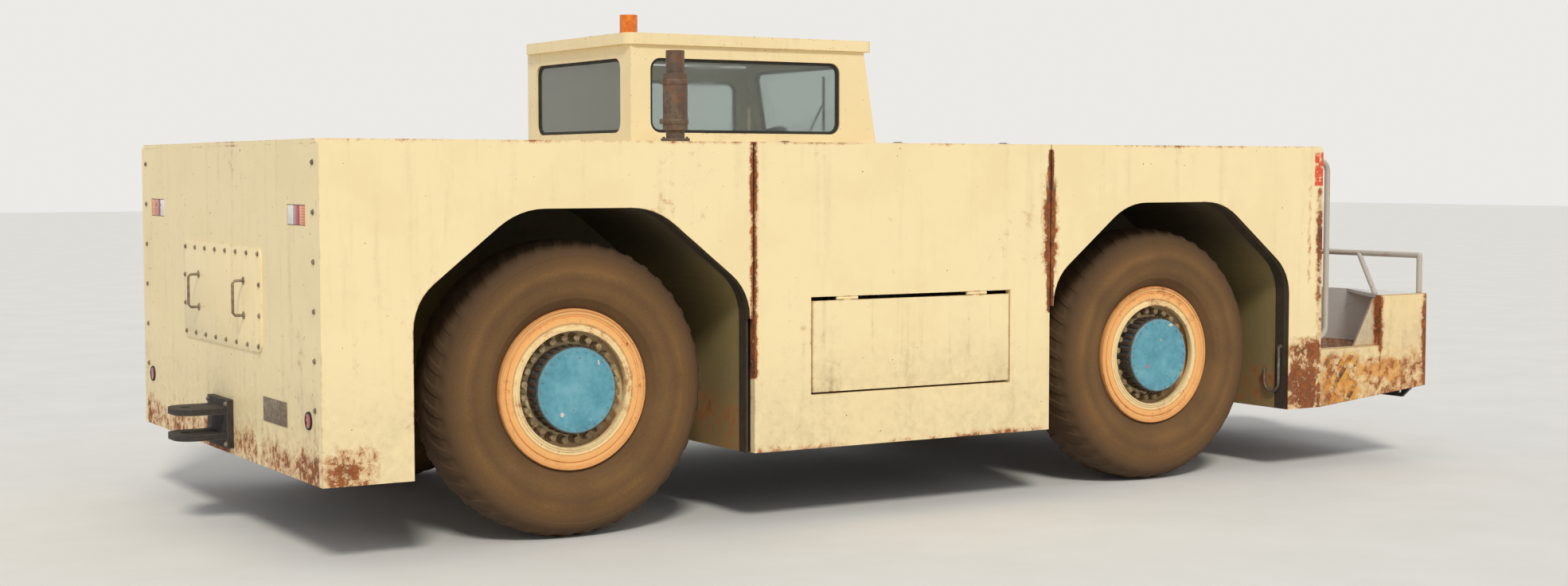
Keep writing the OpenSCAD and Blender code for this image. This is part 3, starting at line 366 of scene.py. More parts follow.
class Shape:
    """Collects solids for one joined mesh."""

    def __init__(self):
        self.verts, self.faces, self.slots = [], [], []

    def add(self, verts, faces, slot=0):
        start = len(self.verts)
        self.verts += [tuple(v) for v in verts]
        self.faces += [[start + i for i in f] for f in faces]
        self.slots += [slot] * len(faces)

    def box(self, low, high, slot=0, turn=None):
        """A box between two corners, turned about its middle."""
        corners = [Vector(c) for c in product(*zip(low, high))]
        if turn:
            middle = (Vector(low) + Vector(high)) / 2
            corners = [middle + turn @ (c - middle) for c in corners]
        self.add(corners, [(0, 1, 3, 2), (4, 6, 7, 5), (0, 4, 5, 1), (2, 3, 7, 6),
                           (0, 2, 6, 4), (1, 5, 7, 3)], slot)

    def block(self, middle, half, slot=0, turn=None):
        """A box of 2 * half round its middle."""
        middle, half = Vector(middle), Vector(half)
        self.box(middle - half, middle + half, slot, turn)

    def prism(self, outline, place, depth, slot=0):
        """A flat outline of (u, v) put in space by place(u, v, w), w from 0 to depth."""
        k = len(outline)
        verts = [place(u, v, w) for w in (0, depth) for u, v in outline]
        faces = [list(range(k))[::-1], list(range(k, 2 * k))]
        self.add(verts, faces + lattice(2, k, False), slot)

    def ring(self, outer, inner, place, depth):
        """A flat frame between two outlines with the same number of points."""
        verts = [place(u, v, w) for out, into in zip(outer, inner)
                 for (u, v), w in ((into, 0), (into, depth), (out, depth), (out, 0))]
        self.add(verts, lattice(len(outer), 4))

    def tube(self, path, radius, sides=12, closed=False, slot=0):
        """A round tube along a path, its radius one number or a list of one for each point."""
        path = [Vector(p) for p in path]
        k = len(path)
        radii = radius if isinstance(radius, list) else [radius] * k
        verts, side = [], None
        for i, p in enumerate(path):
            before = path[i - 1] if i or closed else p
            after = path[(i + 1) % k] if i < k - 1 or closed else p
            along = (after - before).normalized()
            if side is None:
                side = along.orthogonal().normalized()
            side = (side - along * side.dot(along)).normalized()
            up = along.cross(side)
            verts += [p + side * a + up * b for a, b in circle(radii[i], sides)]
        faces = lattice(k, sides, closed)
        if not closed:
            faces += [list(range(sides))[::-1], list(range((k - 1) * sides, k * sides))]
        self.add(verts, faces, slot)

    def spin(self, profile, place, steps=48, slot=0, closed=True):
        """Turns a profile of (radius, along) round place's third axis."""
        verts = [place(r * a, r * b, h) for a, b in circle(1, steps) for r, h in profile]
        self.add(verts, lattice(steps, len(profile), True, closed), slot)

    def turned(self, profile, place, steps, slot=0):
        """Spins an open profile. Where it reaches the axis, a pinhole keeps the faces whole."""
        pinhole = 0.0001
        self.spin([(max(r, pinhole), h) for r, h in profile], place, steps, slot, closed=False)

    def bolt(self, at, axis, radius, height, slot=0, turn=0.0):
        """A hexagon head on a washer."""
        at, axis = Vector(at), Vector(axis)
        side = axis.orthogonal().normalized()
        up = axis.cross(side)
        washer = height / 4

        def place(u, v, w):
            return at + side * u + up * v + axis * w

        self.prism(circle(radius * 1.35, 16), place, washer, slot)
        self.prism(circle(radius, 6, turn), lambda u, v, w: place(u, v, w + washer), height - washer, slot)

    def bolts(self, spots, axis, radius, height, slot=0):
        for at in spots:
            self.bolt(at, axis, radius, height, slot)

    def bead(self, path, radius):
        """A lumpy weld bead along a path."""
        points, radii = [], []
        for p, q in zip(path, path[1:]):
            p, q = Vector(p), Vector(q)
            count = max(2, int((q - p).length / 0.012))
            for i in range(count):
                points.append(p.lerp(q, i / count))
                lump = 0.22 * math.sin(2.2 * len(radii)) + random.uniform(-0.08, 0.08)
                radii.append(radius * (1 + lump))
        self.tube(points + [Vector(path[-1])], radii + [radius], 7)

    def piece(self, name, body, materials, slot, bevel=0.0, angle=35):
        """The solids as one piece that rides on a body, with edges sharper than angle kept sharp."""
        mesh = bpy.data.meshes.new(name)
        mesh.from_pydata(self.verts, [], self.faces)
        for material in materials:
            mesh.materials.append(material)
        mesh.polygons.foreach_set("material_index", self.slots)
        mesh.update()
        obj = bpy.data.objects.new(name, mesh)
        scene.collection.objects.link(obj)
        if bevel:
            tool = obj.modifiers.new("edge", "BEVEL")
            tool.width, tool.segments, tool.limit_method = bevel, 2, "ANGLE"
            tool.angle_limit = math.radians(40)
            tool.use_clamp_overlap = True
            baked(obj)
        shade(obj, angle)
        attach(obj, body)
        return obj


# Materials of the body

CREAM = "f8e4b2"
seam_rust = [rust(0.30, 0.016, x=near(seam_front, 0.022), z=(0.95, 1.80)),
             rust(0.17, 0.03, x=near(seam_front, 0.05), z=(1.15, 1.66))]
leg_rust = [rust(0.225, 0.10, x=(x_face - 0.31, x_face + 0.01), z=(z_under, 0.76)),
            rust(0.18, 0.025, x=(x_face - 0.05, x_face + 0.01), z=(z_under, 1.60)),
            rust(0.10, 0.012, x=near(x_face - 0.10, 0.015), z=(1.05, 1.70))]
top_rust = [rust(0.12, 0.012, z=(deck_z - 0.012, deck_z + 0.02))]
rear_rust = [rust(0.24, 0.02, x=near(seam_rear, 0.025), z=(0.7, 1.85))]
skirt_rust = [rust(0.17, 0.04, z=near(skirt_z, 0.02))]
tail_rust = [rust(0.16, 0.10, x=(x_tail - 0.01, x_tail + 0.25), z=(z_under, 0.50))]


def seam_gap(n):
    """Cream, with the dark burnt strip along the seam behind the front wheel."""
    ragged = (n.noise(14, 5, 0.6) - 0.5) * 0.03
    strip = abs(n.x - seam_front + ragged) < n.span(n.z, 1.10, 1.45, 0.006, 0.030)
    return n.mix(strip * n.zone(0.05, z=(1.17, 1.62)), lin(CREAM), lin("42211a"))


def inside_arch(n):
    """The cut edges of the plates round a wheel."""
    arches = [n.zone(0.001, x=near(x, ARCH_HALF + 0.004), z=(0, ARCH_TOP + 0.004)) for x in (x_front, x_rear)]
    return (abs(n.y) < half_w - 0.002) * n.most(*arches) * 0.93


def corner_marker(n):
    """The seam's colours, and an orange-red marker on the upper front corner of the side plate."""
    place = n.zone(0.004, x=(x_face - 0.065, x_face + 0.1), z=(deck_z - 0.22, deck_z - 0.03))
    return n.mix(place * n.span(n.noise(30, 5, 0.6), 0.62, 0.50), seam_gap(n), lin("e0512c"))


def side_stripes(n):
    """Cream, with yellow and black diagonals low beside the body, and grey gussets inside."""
    color = hazard(n, "e8a02a", "3a2c20", "xz", 0.085, slope=-0.8)
    place = n.zone(0.03, x=(x_face + 0.02, x_face + 0.30), z=(0.36, 0.64))
    worn = n.span(n.noise(15, 6, 0.65), 0.56, 0.49)
    color = n.mix(place * worn, lin("f1d8a4"), color)
    sill = n.zone(0.05, x=(x_face, x_bumper - 0.02), z=(z_under, 0.62))
    patches = n.span(n.noise(6, 6, 0.6, n.stretch((1.0, 1.0, 2.2))), 0.44, 0.56)
    color = n.mix(sill * patches * 0.8, color, lin("eba744"))
    inside = n.span(abs(n.y), *near(inner_y, 0.0002), 1.0, 0.0)
    return n.mix(inside, color, lin("a9a69e"))


def burnt_white(n):
    """White, with a wide brown smudge over the coupler."""
    spread = n.zone(0.15, y=(-0.24, 0.24), z=(0.5, 0.90))
    cloud = n.span(n.noise(6, 7, 0.65) + spread * 0.36, 0.60, 0.84)
    tone = n.ramp(n.noise(26, 7, 0.7) * 0.6 + n.noise(5, 3) * 0.4, [
        (0.34, "6e5140"), (0.48, "9c765a"), (0.62, "bd9a7c")])
    return n.mix(cloud * 0.85, lin("dcdcdc"), tone)


def band_stripes(n):
    """Stripes on the panels beside the coupler, and white step plates."""
    panels = n.zone(0.001, y=near(0, STEP_Y - 0.004))
    return n.mix(panels, lin("d8d4cc"), hazard(n, "e08a1c", "1f1c19", "yz", 0.26, 0.18, 0.9))


def well_edge_and_shade(n):
    """Black along the edge of the side plate, and painted shade that darkens the well towards the top of the
    arch.
    """
    return n.most(abs(n.y) > half_w - 0.105, n.span(n.z, 1.08, 1.38, 0.0, 0.85)) * 0.93


def glass_material():
    """Clear glass with dust on it."""
    n = Nodes("window_glass")
    dust = n.span(n.noise(3, 6, 0.6), 0.4, 0.8, 0.04, 0.16)
    return n.finish(lin("cfd9d6"), dust, Transmission_Weight=0.92, IOR=1.45)


def amber_material():
    """A ribbed lens."""
    n = Nodes("amber_lens")
    wave = n.new("ShaderNodeTexWave", {"Vector": n.pos, "Scale": 26.0}, bands_direction="Z")
    ribs = wave.outputs["Fac"]
    return n.finish(n.ramp(ribs, [(0.2, "c8600c"), (0.8, "f08a1a")]), 0.2, n.bump(ribs, 0.4, 0.002),
                    Coat_Weight=0.6)


def lamp_material():
    """Amber, except the grey housings of the headlamps and the red ones of the tail lamps."""
    n = Nodes("lamp_housings")
    fine = n.noise(45, 5, 0.6)
    ahead = n.zone(0.001, x=(x_face - 0.05, x_face - 0.001), z=(0.8, 1.2))
    color = n.mix(ahead, n.ramp(fine, [(0.3, "c8600c"), (0.8, "f08a1a")]), lin("55534f"))
    color = n.mix(n.x < x_tail + 0.05, color, lin("3a1210"))
    return n.finish(color, n.span(fine, 0.3, 0.7, 0.18, 0.34), n.bump(fine, 0.15, 0.001))


mat_cab = paint("cream_cab", "f5e3b6", dirt=0.26, rough=0.38)
mat_tail = paint("cream_tail", CREAM, [rust(0.17, 0.10, z=(z_under, 0.52))])
mat_bumper = paint("white_bumper", "dcdcdc", [
    rust(0.20, 0.12, y=(-0.30, 0.30), z=(0.5, 0.74)),
    rust(0.10, 0.02, z=(0.58, 0.61))], wear=0.9, dirt=0.20, halo=0.5, pattern=burnt_white)
# The band's back and the walls of its holes, behind the front face, are painted near black as shade.
mat_band = paint("white_band", "d8d4cc", [rust(0.13, 0.1, y=(-0.62, 0.62), z=(z_under, 0.6))],
                 wear=1.1, dirt=0.5, pattern=band_stripes, shade_and_dark_edges=lambda n: n.x < x_band - 0.004)
mat_tube = paint("tube_paint", "beb5aa", wear=1.2, dirt=0.3, rough=0.5)
mat_hitch = rusty("rusty_coupler", [(0.3, "33231a"), (0.45, "6e3c1e"), (0.56, "9c5723"), (0.7, "b9762f")],
                  0.8, sooty=lambda n: n.zone(0.06, x=(x_bumper + 0.10, 4)) * 0.72)
mat_dark = rusty("dirty_steel", [(0.3, "1f1d1b"), (0.5, "3a3632"), (0.65, "4c423a"), (0.8, "6a4a30")],
                 0.7, 0.75)
mat_exhaust = rusty("burnt_steel", [(0.3, "3b3430"), (0.5, "6d5b4d"), (0.65, "8a5a38"), (0.8, "9c8878")],
                    0.4, 0.6)
mat_hook = rusty("worn_hook", [(0.3, "3a332c"), (0.5, "6b6055"), (0.7, "a3978a")], 0.4, 0.55)
mat_bolt = rusty("bolt_steel", [(0.3, "4f3a2a"), (0.5, "8a7a66"), (0.7, "b5a68e")], 0.2, 0.6)
mat_rubber = simple("black_rubber", "1b1a19", "2b2926", 0.75, 60, 0.4)
mat_plastic = simple("dark_plastic", "222323", "303130", 0.55, 220, 0.3)
mat_chrome = simple("plated_steel", "9a9a98", "c2c1bd", 0.28, 20, 0.1, Metallic=0.9)
mat_clear = simple("clear_lens", "c9cdcb", "e3e6e4", 0.12, 12, 0.1, Coat_Weight=0.8)
mat_red = simple("red_lens", "8e1410", "b3211a", 0.2, 12, 0.1, Coat_Weight=0.6)
mat_amber = amber_material()

dress(paint("cream_front", CREAM, seam_rust + leg_rust + top_rust, dirt=0.24, pattern=corner_marker,
            shade_and_dark_edges=inside_arch), "side_front")
dress(paint("cream_mid", CREAM, seam_rust + top_rust + rear_rust + skirt_rust, dirt=0.24,
            pattern=seam_gap), "side_mid")
dress(paint("cream_rear", CREAM, top_rust + rear_rust + tail_rust, dirt=0.24, shade_and_dark_edges=inside_arch),
      "side_rear")
dress(paint("cream_body", CREAM, dirt=0.5), "deck_front", "deck_mid", "deck_rear", "engine_hood",
      "side_hatch")
dress(paint("white_face", "e2dccd", [
    rust(0.17, 0.08, z=(floor_z, floor_z + 0.16)),
    rust(0.12, 0.03, y=(1.27, 1.37)), rust(0.12, 0.03, y=(-1.37, -1.27))]), "front_face")
dress(paint("cream_platform", CREAM, [
    rust(0.175, 0.10, x=(x_face, x_bumper), z=(z_under, 0.64)),
    rust(0.22, 0.03, x=near(x_post, 0.02), z=(0.4, 0.98)),
    rust(0.2, 0.03, x=(x_bumper - 0.04, x_bumper + 0.02), z=(0.4, 0.98))],
    wear=1.2, dirt=0.5, pattern=side_stripes), "platform_sides")
# Painted shade: the well darkens towards the top of the arch, and its edge by the side plate is black.
dress(paint("olive_well", "938152", [rust(0.12, 0.1, z=(z_under, 0.6))], dirt=0.7, rough=0.7,
            shade_and_dark_edges=well_edge_and_shade), "wheel_wells")
dress(rusty("rusty_floor", [(0.3, "4a2e1e"), (0.48, "7a4a2a"), (0.6, "a06c40"), (0.75, "b9a890")]),
      "platform_floor")
dress(mat_cab, "cab_shell", "cab_roof", "cab_door")
dress(mat_tail, "tail_plate")
dress(mat_band, "lower_band")
dress(mat_tube, "handrails")
dress(mat_hitch, "hitch_front")
dress(mat_dark, "frame", "axle_front", "axle_rear", "knuckle_left", "knuckle_right", "tie_rod",
      "hitch_rear", "engine", "front_grille")
dress(mat_exhaust, "exhaust")
dress(mat_plastic, "cab_seat", "cab_console")
dress(glass_material(), "cab_glass", "door_glass")
dress(lamp_material(), "lamps")


# Wheels

def radius_from(n, x):
    """Distance of the shaded point from the axis of the wheels at x."""
    ahead, above = n.x - x, n.z - tyre_r
    return n.math("SQRT", ahead * ahead + above * above)


def tyre_material(x):
    """Rubber brown with dust, in rings round the wheels at x."""
    n = Nodes("dusty_tyre")
    fine = n.noise(85, 6, 0.65)
    coarse = n.noise(3.2, 5, 0.55)
    far = radius_from(n, x) + (coarse - 0.5) * 0.05
    rings = n.ramp(n.span(far, 0.36, 0.69), [
        (0.0, "684b2c"), (0.22, "78572f"), (0.42, "6b4d2c"), (0.6, "7e5b31"), (0.8, "684a29"),
        (0.97, "523c25")])
    bare = n.span(coarse * 0.6 + fine * 0.4, 0.36, 0.62, 1.0, 0.0)
    return n.finish(n.mix(bare * 0.45, rings, lin("4b361f")), 0.9, n.bump(fine, 0.35, 0.0015))


def rim_material(x):
    """Peach paint that is orange on the outer ring and cream on the inner one, with rust specks."""
    def rings(n):
        far = radius_from(n, x) + (n.noise(30, 5, 0.6) - 0.5) * 0.006
        return n.ramp(n.span(far, 0.26, 0.38), [
            (0.0, "f2d9a2"), (0.24, "f6deaa"), (0.30, "d39655"), (0.36, "f8bd76"), (0.66, "f7b46a"),
            (0.70, "d98f4e"), (0.75, "f6bf7a"), (0.97, "e3a360")])
    return paint("rim_paint", "ecc68c", [rust(0.04, 0.1, z=(0, 2))], dirt=0.05, halo=0.8, pattern=rings)


def hub_material():
    """Blue paint with chips, two spots on the front cap and a dark brown barrel."""
    n = Nodes("hub_blue")
    fine = n.noise(38, 7, 0.65)
    coarse = n.noise(9, 5, 0.6)
    color = n.ramp(fine * 0.4 + coarse * 0.6, [(0.35, "4b8a9b"), (0.5, "5c9cac"), (0.65, "74abb8")])
    chips = n.span(fine, 0.66, 0.69)
    color = n.mix(chips, color, lin("6b4a35"))
    color = n.mix(n.span(n.noise(16, 3, 0.5), 0.70, 0.73), color, lin("d9c9bd"))
    for dx, dz, size, tone in ((-0.083, -0.057, 0.009, "d0605a"), (0.014, 0.083, 0.005, "d99a90")):
        spot = n.zone(0.004, x=near(x_front + dx, size), y=(-2, -1), z=near(tyre_r + dz, size))
        color = n.mix(spot * n.span(n.noise(90, 3, 0.6), 0.40, 0.52), color, lin(tone))
    barrel = abs(n.y) < -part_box("hub_front_right")[0].y - 0.004
    color = n.mix(barrel * 0.85, color, n.ramp(fine, [(0.35, "2c211a"), (0.7, "5d4a3a")]))
    color = n.mix(n.edges(0.006) * 0.7, color, lin("8a6a4c"))
    return n.finish(color, chips * 0.3 + 0.45, n.bump(fine, 0.25, 0.001))


tyre_mats = {x: tyre_material(x) for x in (x_front, x_rear)}
rim_mats = {x: rim_material(x) for x in (x_front, x_rear)}
mat_rim_dark = rusty("rim_recess", [(0.3, "2a2019"), (0.5, "4b3526"), (0.7, "6f5138")])
mat_nut = rusty("wheel_nuts", [(0.3, "6a5138"), (0.5, "a08a68"), (0.7, "c9b690")], 0.1)
mat_hub = hub_material()
# Radius, for a tyre of 0.685 m, and share of the half width
SIDEWALL = [
    (0.350, 0.660), (0.372, 0.663), (0.379, 0.700), (0.394, 0.760), (0.407, 0.826), (0.415, 0.870),
    (0.418, 0.890), (0.425, 0.912), (0.431, 0.916), (0.437, 0.935), (0.452, 0.965), (0.475, 0.988),
    (0.505, 0.999), (0.530, 1.000), (0.553, 0.992), (0.556, 0.982), (0.575, 0.974), (0.595, 0.960),
    (0.610, 0.944), (0.613, 0.950), (0.628, 0.930), (0.640, 0.890), (0.650, 0.835)]
CROWN = [(0.660, 0.77), (0.6685, 0.705), (0.6745, 0.635), (0.679, 0.55), (0.683, 0.44),
         (0.685, 0.34), (0.685, 0.2), (0.685, 0.07)]
PROFILE_R, SHOULDER_R = 0.685, 0.636


def ramped(value, low, rise):
    """0 below low, 1 from low + rise on."""
    return min(1, max(0, (value - low) / rise))


def tyre(corner):
    """Tyre with worn lugs: the outline is turned, and pressed in along slanted grooves."""
    centre, side = wheels[corner]
    low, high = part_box("tyre_" + corner)
    half = (high.y - low.y) / 2
    scale = tyre_r / PROFILE_R
    outline = [(r * scale, s * half, part is CROWN) for part in (SIDEWALL, CROWN) for r, s in part]
    outline += [(r, -s, tread) for r, s, tread in reversed(outline)]
    lugs, groove_depth = 44, 0.006
    marks = (0.0, 0.07, 0.40, 0.47)
    verts = []
    for i, (m, mark) in product(range(lugs), enumerate(marks)):
        for r, s, tread in outline:
            across = abs(s) / half
            slant = 0.9 * (min(across, 0.8) - 0.1) + (0.5 if s < 0 else 0.0)
            angle = 2 * math.pi * (i + mark + slant) / lugs
            if m in (0, 3):
                share = ramped(across, 0.10, 0.05) if tread else 0.5 * ramped(r / scale, SHOULDER_R, 0.02)
                r -= groove_depth * share
            verts.append(centre + Vector((r * math.cos(angle), side * s, r * math.sin(angle))))
    shape = Shape()
    shape.add(verts, [face[::side] for face in lattice(lugs * len(marks), len(outline))])
    obj = shape.piece("tread_tyre_" + corner, "wheel_" + corner, [tyre_mats[centre.x]], angle=32,
                      slot="tyre_rubber")
    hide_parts("tyre_" + corner)


def face_of(node, centre):
    """How far a node of a wheel reaches outwards from the wheel's centre."""
    return max(abs(end.y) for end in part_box(node)) - abs(centre.y)


def wheel(corner):
    """Rings of the rim, nuts, and the hub cap's bolts and toothed flange."""
    centre, side = wheels[corner]
    body, out = "wheel_" + corner, (0, side, 0)
    place = placer(centre, "xzy" if side > 0 else "xzY")
    rim_face, cap_face = face_of("rim_" + corner, centre), face_of("hub_" + corner, centre)
    rings = Shape()
    wide, back, front = 0.005, rim_face - 0.002, rim_face + 0.005
    for r in (0.366, 0.2735):
        rings.spin([(r - wide, back), (r - wide * 0.7, front), (r + wide * 0.7, front), (r + wide, back)],
                   place, 72)
    rings.piece("rim_rings_" + corner, body, [rim_mats[centre.x]], angle=30, slot="rim_paint")
    nuts = Shape()
    count, disc = 24, 0.070
    for start, circle_r, depth, radius, height, slot in (
            (0.5, 0.236, disc, 0.0165, 0.052, 0), (0.0, 0.180, cap_face - 0.003, 0.0068, 0.006, 1)):
        for i in range(count):
            a = 2 * math.pi * (i + start) / count
            at = place(circle_r * math.cos(a), circle_r * math.sin(a), depth)
            nuts.bolt(at, out, radius, height, slot, a)
    nuts.piece("wheel_nuts_" + corner, body, [mat_nut, mat_hub], bevel=0.0012, slot="grey_steel")
    teeth = Shape()
    count, cap_r = 36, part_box("hub_" + corner)[1].x - centre.x
    for i, (u, v) in enumerate(circle(cap_r, count)):
        teeth.block(place(u, v, cap_face - 0.050), (0.007, 0.03, 0.008),
                    turn=Matrix.Rotation(-2 * math.pi * i / count, 3, "Y"))
    teeth.piece("cap_flange_" + corner, body, [mat_rim_dark], bevel=0.0015, slot="hub_paint")
    dress(rim_mats[centre.x], "rim_" + corner)
    dress(mat_hub, "hub_" + corner)


# The bumper plate with its dents

def bumper():
    """A plate with shallow dents, two slots, and flat gussets behind its ends."""
    low, high = bumper_low, bumper_high
    thick, slot_depth, gusset_t, gusset_w = 0.04, 0.030, 0.02, 0.54
    dents = [(random.uniform(-1.3, 1.3), random.uniform(low.z, high.z), random.uniform(0.03, 0.16),
              random.uniform(0.002, 0.010)) for _ in range(38)]
    plate_z = round(low.z + 0.13, 4)
    slots = [near(s * SLOT_Y, SLOT_W / 2) for s in (-1, 1)]
    slot_z = (plate_z, plate_z + SLOT_H)
    sign_y, sign_z = (-SIGN_Y - SIGN_W, -SIGN_Y), (plate_z, plate_z + SIGN_H)
    cuts_y, cuts_z = 150, 26
    ys = sorted({round(low.y + (high.y - low.y) * i / cuts_y, 4) for i in range(cuts_y + 1)}
                | {y for slot in slots for y in slot} | set(sign_y))
    zs = sorted({round(low.z + (high.z - low.z) * i / cuts_z, 4) for i in range(cuts_z + 1)}
                | set(slot_z) | set(sign_z))

    def dented(y, z):
        """The front of the plate, with no dent at its edges."""
        fade = min(1, (y - low.y) / 0.03, (high.y - y) / 0.03, (z - low.z) / 0.03, (high.z - z) / 0.02)
        depth = sum(h * math.exp(-((y - a) ** 2 + (z - b) ** 2) / (w * w)) for a, b, w, h in dents)
        return Vector((high.x - max(0, fade) * min(0.016, depth), y, z))

    def in_slot(y, z):
        return any(a < y < b for a, b in slots) and slot_z[0] < z < slot_z[1]

    shape = Shape()
    grid = [[dented(y, z) for z in zs] for y in ys]
    floor_x = high.x - slot_depth
    for i, j in product(range(len(ys) - 1), range(len(zs) - 1)):
        cell = [grid[i][j], grid[i + 1][j], grid[i + 1][j + 1], grid[i][j + 1]]
        mid_y, mid_z = (ys[i] + ys[i + 1]) / 2, (zs[j] + zs[j + 1]) / 2
        if not in_slot(mid_y, mid_z):
            shape.add(cell, [(0, 1, 2, 3)])
            continue
        bottom = [Vector((floor_x, p.y, p.z)) for p in cell]
        shape.add(bottom, [(0, 1, 2, 3)], 1)
        step_y, step_z = (ys[i + 1] - ys[i]) / 2 + 0.001, (zs[j + 1] - zs[j]) / 2 + 0.001
        for k, (right, up) in enumerate(((0, -1), (1, 0), (0, 1), (-1, 0))):
            if not in_slot(mid_y + right * step_y, mid_z + up * step_z):
                m = (k + 1) % 4
                shape.add([cell[k], cell[m], bottom[m], bottom[k]], [(0, 3, 2, 1)], 1)
    back, last_y, last_z = high.x - thick, len(ys) - 1, len(zs) - 1
    rim = ([(i, 0) for i in range(last_y)] + [(last_y, j) for j in range(last_z)]
           + [(i, last_z) for i in range(last_y, 0, -1)] + [(0, j) for j in range(last_z, 0, -1)])
    front = [grid[i][j] for i, j in rim]
    rear = [Vector((back, ys[i], zs[j])) for i, j in rim]
    k = len(rim)
    shape.add(rear + front, [list(range(k))[::-1]] + lattice(2, k, False))
    for s in (1, -1):
        outline = [(back, s * inner_y), (back, s * (inner_y - gusset_w)), (x_post, s * inner_y)]
        shape.prism(outline[::s], placer((0, 0, high.z - gusset_t)), gusset_t)
    obj = shape.piece("dented_bumper", "root", [mat_bumper, mat_rubber], angle=30, slot="white_paint")
    bm = bmesh.new()
    bm.from_mesh(obj.data)
    bmesh.ops.remove_doubles(bm, verts=bm.verts, dist=1e-5)
    bm.to_mesh(obj.data)
    bm.free()
    shade(obj, 30)
    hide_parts("bumper_plate")

    sign = Shape()
    x, gap, corner_in = high.x - 0.0005, 0.004, 0.02
    sign.box((x - 0.014, sign_y[0] + gap, sign_z[0] + gap), (x, sign_y[1] - gap, sign_z[1] - gap))
    spots = product([x - 0.004], (sign_y[0] + corner_in, sign_y[1] - corner_in),
                    (sign_z[0] + corner_in, sign_z[1] - corner_in))
    sign.bolts(spots, AHEAD, 0.006, 0.0035, 1)
    n = Nodes("blank_plate")
    fine = n.noise(60, 6, 0.7)
    mat = n.finish(n.ramp(fine, [(0.35, "454443"), (0.65, "6b6967")]), 0.5, n.bump(fine, 0.3, 0.001),
                   Metallic=0.4)
    sign.piece("number_plate_blank", "root", [mat, mat_bolt], bevel=0.001, slot="grey_steel")


# The seat's cushions

def parts_of(name):
    """Low and high corners of each separate solid of a node."""
    mesh = nodes[name].data
    root = list(range(len(mesh.vertices)))

    def top(i):
        while root[i] != i:
            root[i] = root[root[i]]
            i = root[i]
        return i

    spots = {}
    for v in mesh.vertices:
        key = tuple(round(c, 5) for c in v.co)
        root[top(v.index)] = top(spots.setdefault(key, v.index))
    for edge in mesh.edges:
        root[top(edge.vertices[0])] = top(edge.vertices[1])
    groups = {}
    for v in mesh.vertices:
        groups.setdefault(top(v.index), []).append(nodes[name].matrix_world @ v.co)
    return [(Vector(map(min, *group)), Vector(map(max, *group))) for group in groups.values()]


def vinyl():
    """Black vinyl with a fine grain, folds and dust."""
    n = Nodes("black_vinyl")
    grain = Value(n, n.new("ShaderNodeTexVoronoi", {"Scale": 420.0}).outputs["Distance"])
    folds = n.noise(16, 5, 0.6)
    dust = n.span(n.noise(4, 5, 0.6), 0.42, 0.66)
    color = n.mix(dust * 0.35, n.ramp(folds, [(0.3, "1b1b1c"), (0.7, "29292a")]), lin("5a5044"))
    return n.finish(color, n.span(folds, 0.3, 0.7, 0.42, 0.6), n.bump(grain * 0.4 + folds, 0.4, 0.002))


def pillow(centre, half, cuts=22, power=7, voxel=0.0095):
    """A rounded box of 2 * half as a remeshed object."""
    bm = bmesh.new()
    bmesh.ops.create_cube(bm, size=2)
    bmesh.ops.subdivide_edges(bm, edges=bm.edges[:], cuts=cuts, use_grid_fill=True)
    for v in bm.verts:
        length = sum(abs(c) ** power for c in v.co) ** (1 / power)
        v.co = [centre[i] + half[i] * v.co[i] / length for i in range(3)]
    obj = bpy.data.objects.new("pillow", bpy.data.meshes.new("pillow"))
    bm.to_mesh(obj.data)
    bm.free()
    scene.collection.objects.link(obj)
    voxels = obj.modifiers.new("voxels", "REMESH")
    voxels.mode, voxels.voxel_size = "VOXEL", voxel
    baked(obj)
    return obj


def inflate(obj, frames=20):
    """Blows the object up by pressure, held by its vertex group of sewn points."""
    cloth = obj.modifiers.new("cloth", "CLOTH").settings
    cloth.quality = 6
    cloth.mass = 0.25
    cloth.tension_stiffness = 18
    cloth.compression_stiffness = 18
    cloth.shear_stiffness = 8
    cloth.bending_stiffness = 0.6
    cloth.use_pressure = True
    cloth.uniform_pressure_force = 4
    cloth.vertex_group_mass = "sewn"
    cloth.effector_weights.gravity = 0
    for number in range(1, frames + 1):
        scene.frame_set(number)
    baked(obj)
    scene.frame_set(1)


def stuffed(low, high, face, channels=4):
    """The pad that fills a box: soft towards +face, with channels sewn side by side in y."""
    centre, half = (low + high) / 2, (high - low) / 2
    seam_width, seam_depth, furthest = 0.0058, 0.010, 0.016
    slim = Vector((0.955, 0.955, 0.955))
    slim[face] = 0.80
    start = Vector(centre)
    start[face] -= half[face] * (1 - slim[face]) - 0.001
    obj = pillow(start, half * slim)
    seams = [2 * k / channels - 1 for k in range(1, channels)]
    sewn = obj.vertex_groups.new(name="sewn")
    for v in obj.data.vertices:
        u = [(v.co[i] - centre[i]) / half[i] for i in range(3)]
        seam = u[face] > 0.3 and min(abs(u[1] - s) for s in seams) * half.y < seam_width
        if seam:
            v.co[face] -= seam_depth
        if seam or u[face] < -0.55:
            sewn.add([v.index], 1, "REPLACE")
    before = [v.co.copy() for v in obj.data.vertices]
    inflate(obj)
    room = Vector((0.003, 0.003, 0.003))
    room[face] = 0.0005
    for v, old in zip(obj.data.vertices, before):
        move = v.co - old
        if move.length > furthest:
            v.co = old + move.normalized() * furthest
        for i in range(3):
            v.co[i] = max(low[i] + room[i], min(high[i] - room[i], v.co[i]))
    smooth = obj.modifiers.new("smooth", "SUBSURF")
    smooth.levels = smooth.render_levels = 1
    baked(obj)
    return obj


